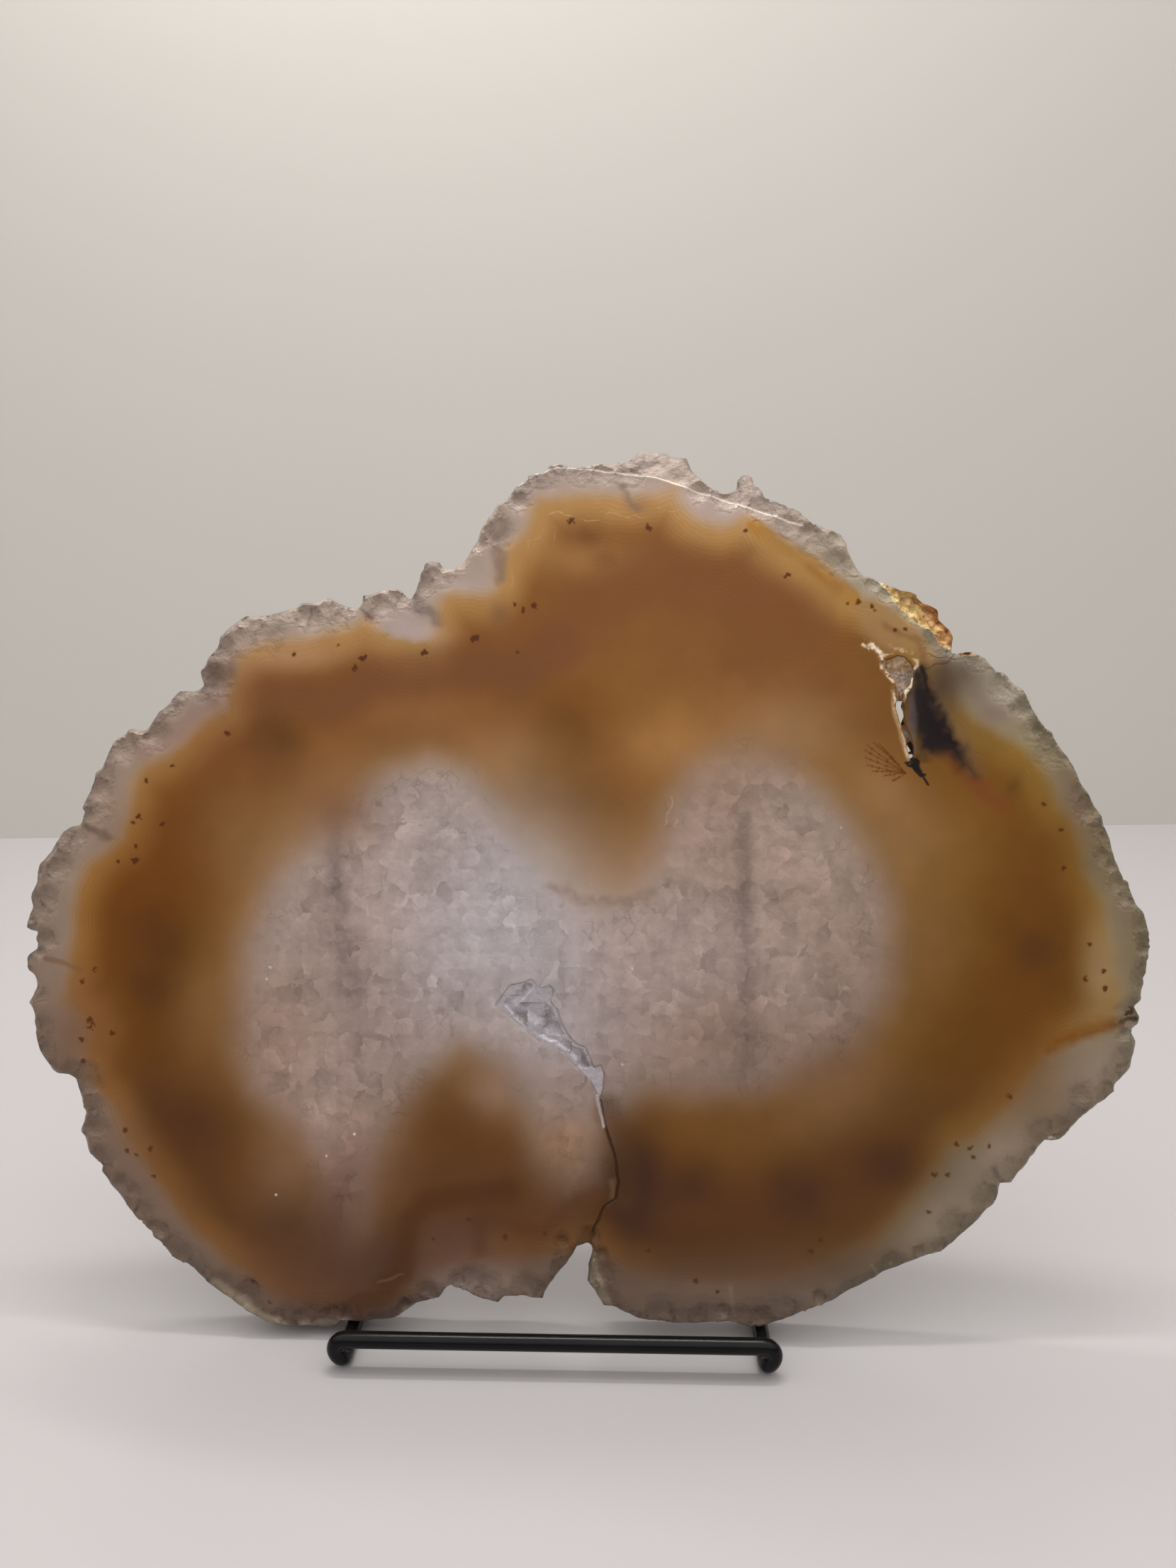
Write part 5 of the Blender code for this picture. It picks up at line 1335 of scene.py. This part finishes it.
@dataclass
class WireStand:
    """One black-coated wire, bent into upright, foot, hook, bar, hook, foot and upright."""

    diameter: float = 3.6
    bar_spacing: float = 91.0
    bar_height: float = 7.0
    foot_spacing: float = 85.3
    foot_depth: float = 43.3
    upright_height: float = 106.5
    left_sway: float = -6.7
    right_sway: float = -3.8
    hook_bend: float = 2.2
    corner_bend: float = 4.0
    gap: float = 0.3
    slice_front: float = 8.2
    shift: Point = (-4.7327, -26.499)
    bar_front: float = -0.2
    inset: float = 0.11
    end_round: float = 0.35
    around: int = 28
    arc_steps: int = 10

    def corners(self) -> tuple[Array, tuple[float, ...]]:
        """Corners of the route in millimetres, and the bend radius at each inner one."""
        r = self.diameter / 2
        rise = self.upright_height - (self.diameter + self.gap)
        back = self.slice_front + rise * math.tan(PLANE.lean) + PLANE.thickness / math.cos(PLANE.lean)
        top, foot, bar = back + self.gap + r, self.foot_spacing / 2, self.bar_spacing / 2
        route = np.array([
            (self.left_sway - foot, top, self.upright_height), (-foot, self.foot_depth, r), (-foot, 0.0, r),
            (-bar, self.bar_front, self.bar_height), (bar, self.bar_front, self.bar_height),
            (foot, 0.0, r), (foot, self.foot_depth, r), (self.right_sway + foot, top, self.upright_height),
        ])  # fmt: skip
        c, h = self.corner_bend, self.hook_bend
        return route + np.array([*self.shift, 0.0]), (c, h, h, h, h, c)

    def route(self) -> Array:
        """The wire's middle line: straight runs, with an arc tangent to both runs at each corner."""
        corners, radii = self.corners()
        line = [corners[0]]
        for before, corner, after, radius in zip(corners, corners[1:], corners[2:], radii):
            back, ahead = ((p - corner) / np.linalg.norm(p - corner) for p in (before, after))
            half = math.acos(float(back @ ahead)) / 2
            middle = corner + (back + ahead) / np.linalg.norm(back + ahead) * radius / math.sin(half)
            first, last = (corner + way * radius / math.tan(half) - middle for way in (back, ahead))
            turn = math.pi - 2 * half
            for share in np.linspace(0.0, 1.0, self.arc_steps + 1):
                swung = first * math.sin((1 - share) * turn) + last * math.sin(share * turn)
                line.append(middle + swung / math.sin(turn))
        line.append(corners[-1])
        return np.array(line)

    def build(self) -> bpy.types.Object:
        """Carries a circle along the route, with straight runs cut every 2 mm and rounded, closed ends."""
        route = self.route()
        parts = [route[:1]]
        for a, b in zip(route, route[1:]):
            count = max(1, int(np.linalg.norm(b - a) / 2.0))
            parts.append(a + (b - a) * np.linspace(0.0, 1.0, count + 1)[1:, None])
        line = np.vstack(parts)
        way = np.gradient(line, axis=0)
        way /= np.linalg.norm(way, axis=1)[:, None]
        side = np.empty_like(line)
        side[0] = np.cross(way[0], (0.0, 0.0, 1.0) if abs(way[0][2]) < 0.9 else (1.0, 0.0, 0.0))
        side[0] /= np.linalg.norm(side[0])
        for k in range(1, len(line)):
            side[k] = side[k - 1] - way[k] * (side[k - 1] @ way[k])
            side[k] /= np.linalg.norm(side[k])
        over = np.cross(way, side)
        radius, ease = self.diameter / 2 - self.inset, self.end_round
        start, end = line[0] + way[0] * ease, line[-1] - way[-1] * ease
        line = np.vstack([line[0], line[0], start, line[1:-1], end, line[-1], line[-1]])
        side, over = (np.vstack([a[0], a[0], a[0], a[1:-1], a[-1], a[-1], a[-1]]) for a in (side, over))
        wide = np.full(len(line), radius)
        wide[[0, -1]] = 0.0
        wide[[1, -2]] = radius - ease
        angle = np.linspace(0.0, 2 * math.pi, self.around, endpoint=False)
        circle = side[:, None] * np.cos(angle)[:, None] + over[:, None] * np.sin(angle)[:, None]
        points = (line[:, None] + circle * wide[:, None, None])[1:-1]
        rows = len(points)
        flat = np.vstack([points.reshape(-1, 3), line[:1], line[-1:]])
        number = np.arange(rows * self.around).reshape(rows, self.around)
        after = np.roll(number, -1, axis=1)
        quads = np.stack([number[:-1], after[:-1], after[1:], number[1:]], axis=-1).reshape(-1, 4)
        first = np.column_stack([np.full(self.around, rows * self.around), after[0], number[0]])
        last = np.column_stack([np.full(self.around, rows * self.around + 1), number[-1], after[-1]])
        bare = np.zeros(len(flat))
        bare[number[0]], bare[number[-1]], bare[-2:] = 1.0, 1.0, 1.0
        return Shell(flat * MM, [quads, first, last], {"bare": bare}).build("bent_wire", soft_below=50.0)


# ---- finishes ----


class Nodes:
    """Short calls for building one node material. Values are numbers, colours or other nodes' outputs."""

    def __init__(self, name: str) -> None:
        """Starts a material with a principled shader joined to its output."""
        self.material = bpy.data.materials.new(name)
        self.material.use_nodes = True
        self.tree = self.material.node_tree
        self.tree.nodes.clear()
        self.shader = self.node("BsdfPrincipled")
        self.put(self.shader.outputs["BSDF"], self.node("OutputMaterial").inputs["Surface"])
        self.place = self.node("TexCoord").outputs["Object"]

    def node(self, kind: str, **settings: object) -> bpy.types.Node:
        """Adds a shader node and makes its settings."""
        node = self.tree.nodes.new("ShaderNode" + kind)
        for key, value in settings.items():
            setattr(node, key, value)
        return node

    def put(self, value: object, socket: Socket) -> None:
        """Links an output to a socket, or sets the socket's own value."""
        if isinstance(value, Socket):
            self.tree.links.new(value, socket)
        else:
            socket.default_value = value

    def set(self, **values: object) -> None:
        """Sets or links the shader's sockets; an underscore stands for a space in a socket's name."""
        for key, value in values.items():
            self.put(value, self.shader.inputs[key.replace("_", " ")])

    def attribute(self, name: str, channel: str = "Fac") -> Socket:
        """Reads a value, or with channel Color a colour, kept at the mesh's points."""
        return self.node("Attribute", attribute_name=name).outputs[channel]

    def maths(self, kind: str, *values: object) -> Socket:
        """One step of arithmetic on up to three values."""
        node = self.node("Math", operation=kind)
        for value, socket in zip(values, node.inputs):
            self.put(value, socket)
        return node.outputs[0]

    def times(self, first: object, *others: object) -> object:
        """The product of all the values."""
        for other in others:
            first = self.maths("MULTIPLY", first, other)
        return first

    def plus(self, first: object, *others: object) -> object:
        """The sum of all the values."""
        for other in others:
            first = self.maths("ADD", first, other)
        return first

    def rest(self, share: object) -> Socket:
        """What a share leaves over: 1 - share."""
        return self.maths("SUBTRACT", 1.0, share)

    def grain(self, size: float, detail: float = 3.0, rough: float = 0.55, channel: str = "Fac") -> Socket:
        """Noise whose lumps are about size millimetres across, from 0 to 1."""
        node = self.node("TexNoise")
        self.put(self.place, node.inputs["Vector"])
        for key, value in (("Scale", 1000.0 / size), ("Detail", detail), ("Roughness", rough)):
            node.inputs[key].default_value = value
        return node.outputs[channel]

    def swing(self, size: float, detail: float, height: float) -> Socket:
        """Noise about 0, of the given height from its lowest to its highest."""
        return self.times(self.maths("SUBTRACT", self.grain(size, detail), 0.5), height)

    def warped(self, size: float, reach: float) -> Socket:
        """The place, pushed about by noise of the given size, by up to reach millimetres."""
        push = self.node("VectorMath", operation="MULTIPLY_ADD")
        lumps = self.grain(size, 2.0, channel="Color")
        for value, socket in zip((lumps, (reach * 2 * MM,) * 3, self.place), push.inputs):
            self.put(value, socket)
        return push.outputs[0]

    def cells(self, size: float, place: object, feature: str = "F1") -> bpy.types.Node:
        """Cells about size millimetres across, as a node with their distances, centres and colours."""
        node = self.node("TexVoronoi", feature=feature)
        self.put(place, node.inputs["Vector"])
        node.inputs["Scale"].default_value = 1000.0 / size
        return node

    def between(self, value: object, low: float, high: float, out_low: float = 0.0, out_high: float = 1.0) -> Socket:
        """Maps low to out_low and high to out_high, smoothly, and holds still outside them."""
        node = self.node("MapRange", interpolation_type="SMOOTHSTEP")
        keys = ("Value", "From Min", "From Max", "To Min", "To Max")
        for key, number in zip(keys, (value, low, high, out_low, out_high)):
            self.put(number, node.inputs[key])
        return node.outputs[0]

    def blend(self, kind: str, share: object, a: object, b: object) -> Socket:
        """Mixes two colours in the named way."""
        node = self.node("Mix", data_type="RGBA", blend_type=kind)
        for value, number in ((share, 0), (a, 6), (b, 7)):
            self.put(value, node.inputs[number])
        return node.outputs[2]

    def shaded(self, colour: object, shade: object) -> Socket:
        """A colour made lighter or darker by a number."""
        grey = self.node("CombineColor")
        for socket in grey.inputs:
            self.put(shade, socket)
        return self.blend("MULTIPLY", 1.0, colour, grey.outputs[0])

    def relief(self, height: object, distance: float) -> None:
        """Gives the shader a relief of up to distance millimetres, from a height of 0 to 1."""
        node = self.node("Bump")
        for key, value in (("Strength", 1.0), ("Distance", distance * MM), ("Height", height)):
            self.put(value, node.inputs[key])
        self.set(Normal=node.outputs[0])


@dataclass(frozen=True)
class AgateFinish:
    """Cloudy chalcedony: painted zones with fine bands, crackled quartz, grainy rind and ochre crust."""

    rough: float = 0.42
    rind_rough: float = 0.36
    quartz_rough: float = 0.24
    crust_rough: float = 0.45
    coat_rough: float = 0.06
    band_pitch: float = 0.85
    band_strength: float = 0.045
    crackle_size: float = 3.2
    crackle_strength: float = 0.30
    relief_height: float = 0.55
    ior: float = 1.54

    def build(self) -> bpy.types.Material:
        """Makes the material from the slice's attributes and patterns on Object coordinates."""
        n = Nodes("polished_agate")
        crackle, crust, polish = (n.attribute(name) for name in ("crackle", "crust", "polish"))
        bare, place = n.rest(crust), n.warped(3.0, 1.5)
        # Grain tones, with painted shading that slopes across each tilted grain.
        grains = n.plus(self.facet_tone_and_shading(n, place, 4.2, 0.34), self.facet_tone_and_shading(n, n.warped(1.2, 0.6), 2.1, 0.20))
        clouds = n.plus(n.swing(3.5, 4.0, 0.10), n.swing(0.7, 2.0, 0.07))
        shade = n.plus(1.0, self.bands(n), n.times(grains, crackle), clouds)
        shade = n.times(shade, n.maths("MULTIPLY_ADD", self.cracks(n, place), -self.crackle_strength, 1.0))
        crumbs = n.between(n.grain(0.9, 4.0, 0.65), 0.3, 0.7, 0.62, 1.25)
        shade = n.times(shade, n.plus(n.times(crumbs, crust), bare))
        n.set(Base_Color=n.shaded(n.attribute("stone_colour", "Color"), shade))
        rough = n.plus(n.between(polish, 0.0, 1.0, self.rind_rough, self.rough), n.times(n.grain(1.5), 0.1))
        rough = n.maths("MULTIPLY_ADD", crackle, self.quartz_rough - self.rough, rough)
        n.set(Roughness=n.maths("MINIMUM", n.plus(rough, n.times(crust, self.crust_rough)), 0.9))
        n.set(Transmission_Weight=n.times(n.attribute("clear"), bare), IOR=self.ior)
        natural = n.times(n.rest(polish), bare)
        n.set(Coat_Weight=n.maths("MULTIPLY_ADD", natural, 0.2, n.times(polish, 0.3)))
        n.set(Coat_Roughness=self.coat_rough, Coat_IOR=1.45, Specular_IOR_Level=0.1)
        rind = n.times(n.rest(polish), n.grain(1.4, 4.0, 0.6))
        rubble = n.times(crust, n.grain(0.6), 0.5)
        n.relief(n.plus(rind, rubble, n.times(crackle, n.grain(2.4, 2.0), 0.35)), self.relief_height)
        return n.material

    def bands(self, n: Nodes) -> Socket:
        """Light and dark bands that follow the amber line and die out inwards: a sine of the distance."""
        band = n.attribute("band")
        turns = n.maths("MULTIPLY_ADD", n.grain(6.0, 2.0), 14.0, n.times(band, 2 * math.pi / self.band_pitch))
        near_line = n.times(n.between(band, -3.0, 1.0), n.between(band, 6.0, 26.0, 1.0, 0.0))
        patchy = n.times(n.between(n.grain(12.0, 2.0), 0.45, 0.62), self.band_strength)
        return n.times(n.maths("SINE", turns), near_line, patchy)

    def cracks(self, n: Nodes, place: Socket) -> Socket:
        """Short cracks between grains of quartz, coarse and fine ones, broken up by noise."""
        coarse = n.cells(self.crackle_size, place, "DISTANCE_TO_EDGE").outputs["Distance"]
        fine = n.cells(self.crackle_size * 0.45, n.warped(1.6, 1.0), "DISTANCE_TO_EDGE").outputs["Distance"]
        lines = n.maths("MAXIMUM", n.between(coarse, 0.0, 0.07, 1.0, 0.0), n.between(fine, 0.0, 0.07, 0.6, 0.0))
        return n.times(lines, n.between(n.grain(7.0, 2.0), 0.53, 0.64), n.attribute("seams"))

    def facet_tone_and_shading(self, n: Nodes, place: Socket, size: float, height: float) -> Socket:
        """Light and dark of grains: each cell's own tone, plus painted shading, a brightness slope across it in its own
        direction as on a tilted facet.

        Args:
            n: the material being built.
            place: the point, warped.
            size: the grains' size in millimetres.
            height: how far the brightness swings.

        Returns:
            The change of brightness, about 0.
        """
        cells = n.cells(size, place)
        away, way = n.node("VectorMath", operation="SUBTRACT"), n.node("VectorMath", operation="SUBTRACT")
        dot = n.node("VectorMath", operation="DOT_PRODUCT")
        for value, socket in (
            (place, away.inputs[0]), (cells.outputs["Position"], away.inputs[1]),
            (cells.outputs["Color"], way.inputs[0]), ((0.5, 0.5, 0.5), way.inputs[1]),
            (away.outputs[0], dot.inputs[0]), (way.outputs[0], dot.inputs[1]),
        ):  # fmt: skip
            n.put(value, socket)
        # Painted shading: brightness falls off across the cell as light would on a tilted facet.
        slope = n.times(dot.outputs["Value"], 1600.0 * height / size)
        own = n.times(n.maths("SUBTRACT", cells.outputs["Color"], 0.5), height * 0.45)
        return n.plus(own, slope)


@dataclass(frozen=True)
class CrystalFinish:
    """Small quartz points: glassy, a little cloudy, with a tint kept at the mesh's points."""

    name: str = "quartz_points"
    rough: float = 0.2
    clear: float = 0.12
    ior: float = 1.54

    def build(self) -> bpy.types.Material:
        """Makes the material; frost and tint change with noise on Object coordinates."""
        n = Nodes(self.name)
        shade = n.between(n.grain(0.8), 0.25, 0.75, 0.82, 1.15)
        n.set(Base_Color=n.shaded(n.attribute("stone_colour", "Color"), shade))
        n.set(Roughness=n.between(n.grain(1.2, 2.0), 0.3, 0.7, self.rough, self.rough + 0.22))
        n.set(Transmission_Weight=self.clear, IOR=self.ior)
        n.relief(n.grain(0.5, 2.0), 0.05)
        return n.material


@dataclass(frozen=True)
class BlackCoating:
    """Thick glossy black paint on steel wire, bare at the two cut ends."""

    paint: tuple[float, ...] = (0.003, 0.003, 0.0032, 1.0)
    dust: tuple[float, ...] = (0.02, 0.0195, 0.019, 1.0)
    steel: tuple[float, ...] = (0.32, 0.31, 0.30, 1.0)

    def build(self) -> bpy.types.Material:
        """Makes the material: slight orange peel, dust in the gloss, grey cut ends."""
        n = Nodes("black_wire_paint")
        bare = n.attribute("bare")
        dusty = n.times(n.between(n.grain(5.0, 4.0), 0.42, 0.75), 0.1)
        coated = n.blend("MIX", dusty, self.paint, self.dust)
        n.set(Base_Color=n.blend("MIX", bare, coated, self.steel), Metallic=n.times(bare, 0.9))
        n.set(Roughness=n.plus(n.between(n.grain(2.2), 0.3, 0.7, 0.14, 0.22), n.times(bare, 0.25)))
        n.set(Coat_Weight=0.1, Coat_Roughness=0.08, Specular_IOR_Level=0.12)
        n.relief(n.grain(0.9), 0.02)
        return n.material


@dataclass(frozen=True)
class StageFinish:
    """Matt pale paint for the floor and the wall, with a faint unevenness."""

    name: str
    tone: Tone
    rough: float = 0.7

    def build(self) -> bpy.types.Material:
        """Makes the material."""
        n = Nodes(self.name)
        base, soft = ((*(linear(self.tone) * share), 1.0) for share in (1.0, 0.985))
        n.set(Base_Color=n.blend("MIX", n.grain(60.0), base, soft), Roughness=self.rough)
        n.relief(n.grain(1.2, 2.0), 0.02)
        return n.material


# ---- stage, light and camera ----


@dataclass(frozen=True)
class Lamp:
    """One soft rectangular light, in metres and watts, that faces a target."""

    name: str
    at: Place
    target: Place
    size: Point
    watts: float
    tone: Place = (1.0, 0.97, 0.94)

    def hang(self) -> None:
        """Adds the light to the scene."""
        data = bpy.data.lights.new(self.name, "AREA")
        data.shape, data.size, data.size_y = "RECTANGLE", *self.size
        data.energy, data.color = self.watts, self.tone
        lamp = bpy.data.objects.new(self.name, data)
        lamp.location = self.at
        lamp.rotation_mode = "QUATERNION"
        lamp.rotation_quaternion = (Vector(self.target) - Vector(self.at)).to_track_quat("-Z", "Y")
        bpy.context.scene.collection.objects.link(lamp)


LAMPS: tuple[Lamp, ...] = (
    Lamp("strip_front", (0.0, -0.06, 0.75), (0.0, 0.0, 0.0), (1.1, 0.06), 0.7),
    Lamp("strip_top", (0.0, 0.06, 0.75), (0.0, 0.02, 0.0), (0.35, 0.03), 1.8),
    Lamp("strip_back", (0.0, 0.25, 0.75), (0.0, 0.10, 0.0), (0.9, 0.03), 1.0),
    Lamp("wall_wash", (-0.17, 0.27, 0.70), (-0.14, 0.38, 0.42), (0.2, 0.05), 1.0),
)


@dataclass
class Studio:
    """Pale floor and wall, soft light from above, and the camera where the photograph was taken."""

    wall_left: Point = (-0.80, 0.3306)
    wall_right: Point = (0.80, 0.4353)
    wall_height: float = 1.6
    floor_left: Point = (-1.6, -1.2)
    floor_right: Point = (1.6, 0.5)
    room_tone: tuple[float, ...] = (1.0, 0.972, 0.955, 1.0)
    room_low: float = 0.22
    room_high: float = 1.6
    eye: Place = (7.83, -229.89, 168.92)
    pitch: float = math.radians(13.107)
    yaw: float = math.radians(-1.545)
    roll: float = math.radians(0.105)
    lens: float = 27.016

    def plane(self, name: str, corners: Sequence[Place], finish: StageFinish) -> None:
        """Adds one flat stage piece from four corners in metres."""
        shell = Shell(np.array(corners, float), [np.array([[0, 1, 2, 3]])])
        piece = shell.build(name, soft_below=None)
        piece.data.materials.append(finish.build())
        piece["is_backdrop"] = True

    def room_light(self) -> None:
        """Lights the room from all sides, faintly from below and strongly from above."""
        world = bpy.data.worlds.new("room")
        world.use_nodes = True
        tree = world.node_tree
        sky = tree.nodes["Background"]
        sky.inputs["Color"].default_value = self.room_tone
        parts = tree.nodes.new("ShaderNodeSeparateXYZ")
        tree.links.new(tree.nodes.new("ShaderNodeTexCoord").outputs["Generated"], parts.inputs[0])
        rise = tree.nodes.new("ShaderNodeMapRange")
        rise.interpolation_type = "SMOOTHSTEP"
        levels = (("From Min", 0.1), ("From Max", 0.75), ("To Min", self.room_low), ("To Max", self.room_high))
        for key, number in levels:
            rise.inputs[key].default_value = number
        tree.links.new(parts.outputs["Z"], rise.inputs["Value"])
        tree.links.new(rise.outputs[0], sky.inputs["Strength"])
        bpy.context.scene.world = world

    def build(self) -> None:
        """Makes the floor, wall, room light, lamps and camera."""
        (left, near), (right, far) = self.floor_left, self.floor_right
        floor = [(left, near, 0), (right, near, 0), (right, far, 0), (left, far, 0)]
        self.plane("floor", floor, StageFinish("floor_paint", (172, 169, 170), 0.3))
        top = self.wall_height
        wall = [(*self.wall_left, 0), (*self.wall_right, 0), (*self.wall_right, top), (*self.wall_left, top)]
        self.plane("wall", wall, StageFinish("wall_paint", (193, 190, 184)))
        self.room_light()
        for lamp in LAMPS:
            lamp.hang()
        self.camera()
        bpy.context.scene.view_settings.view_transform = "Standard"

    def camera(self) -> None:
        """Aims the camera by pitch, yaw and roll from its place; the lens spans the frame's long side."""
        sy, cy = math.sin(self.yaw), math.cos(self.yaw)
        sp, cp = math.sin(self.pitch), math.cos(self.pitch)
        forward = Vector((sy * cp, cy * cp, -sp))
        right = Vector((cy, -sy, 0.0))
        down = forward.cross(right)
        across = math.cos(self.roll) * right + math.sin(self.roll) * down
        below = math.cos(self.roll) * down - math.sin(self.roll) * right
        data = bpy.data.cameras.new("camera")
        data.lens, data.sensor_width = self.lens, 36.0
        data.clip_start, data.clip_end = 0.01, 10.0
        camera = bpy.data.objects.new("camera", data)
        turn = Matrix((across, -below, -forward)).transposed()
        camera.matrix_world = Matrix.Translation(Vector(self.eye) * MM) @ turn.to_4x4()
        bpy.context.scene.collection.objects.link(camera)
        bpy.context.scene.camera = camera


# ---- putting it together ----


class Slot(Enum):
    """The record's material slots."""

    AGATE = "agate"
    QUARTZ = "quartz"
    WIRE = "wire"


def quartz_tone(u: Array, v: Array, tall: Array) -> Array:
    """Bluish white of the middle crystals, paler on their tips."""
    base = np.array((158, 150, 156), float) + 10 * noise(u, v, 2.0, 55)[:, None]
    return mixed(base, (184, 177, 182), 0.6 * smooth(tall, 0.3, 1.0))


def vug_tone(u: Array, v: Array, tall: Array) -> Array:
    """Pale crystals in the vug, gold at its top, grey-brown towards its right side, paler on their tips."""
    pale, gold, brown, tip = (206, 186, 170), (208, 166, 112), (90, 72, 60), (236, 226, 212)
    tone = mixed(pale, gold, smooth(v, 134.4, 136.2))
    tone = mixed(tone, brown, 0.6 * np.exp(-((u - 71.6) ** 2 + (v - 133.4) ** 2) / 1.2))
    return mixed(tone, tip, 0.5 * smooth(tall, 0.5, 1.2))


def dress(piece: bpy.types.Object, finish: bpy.types.Material, node: str, slot: Slot) -> None:
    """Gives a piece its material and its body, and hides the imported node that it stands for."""
    piece.data.materials.append(finish)
    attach(piece, "root")
    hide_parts(node)
    log.info("%s: %d faces, in place of %s", piece.name, len(piece.data.polygons), node)


def write_sizes() -> None:
    boxes = {"cad": CAD_BOX, "visual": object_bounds()}
    {key: [list(corner) for corner in box] for key, box in boxes.items()}


def main() -> None:
    """Builds the slice, both beds of crystals, the stand and the studio."""
    logging.basicConfig(level=logging.INFO, format="%(message)s")
    stone = AgateSlice()
    dress(stone.build(), AgateFinish().build(), "agate_slice", Slot.AGATE)
    middle = CrystalBed(
        "middle_crystals", (POCKET,), stone.pocket_floor, quartz_tone,
        least=0.12, sizes=(1.2, 2.4), spacing=1.9, rise=1.1, steep=0.8,
    )  # fmt: skip
    dress(middle.build(), CrystalFinish().build(), "pocket_druse", Slot.QUARTZ)
    vug = CrystalBed(
        "vug_crystals", (UPPER_DRUSE, BRIDGE_DRUSE), stone.vug_floor, vug_tone,
        least=0.5, sizes=(0.3, 0.7), spacing=0.6, rise=1.3, steep=0.7, step=0.17, seed=9, drift=VUG_DRIFT,
    )  # fmt: skip
    dress(vug.build(), CrystalFinish("vug_quartz_points", 0.16, 0.2).build(), "vug_druse", Slot.QUARTZ)
    dress(WireStand().build(), BlackCoating().build(), "stand_wire", Slot.WIRE)
    Studio().build()
    write_sizes()


if __name__ == "__main__":
    main()
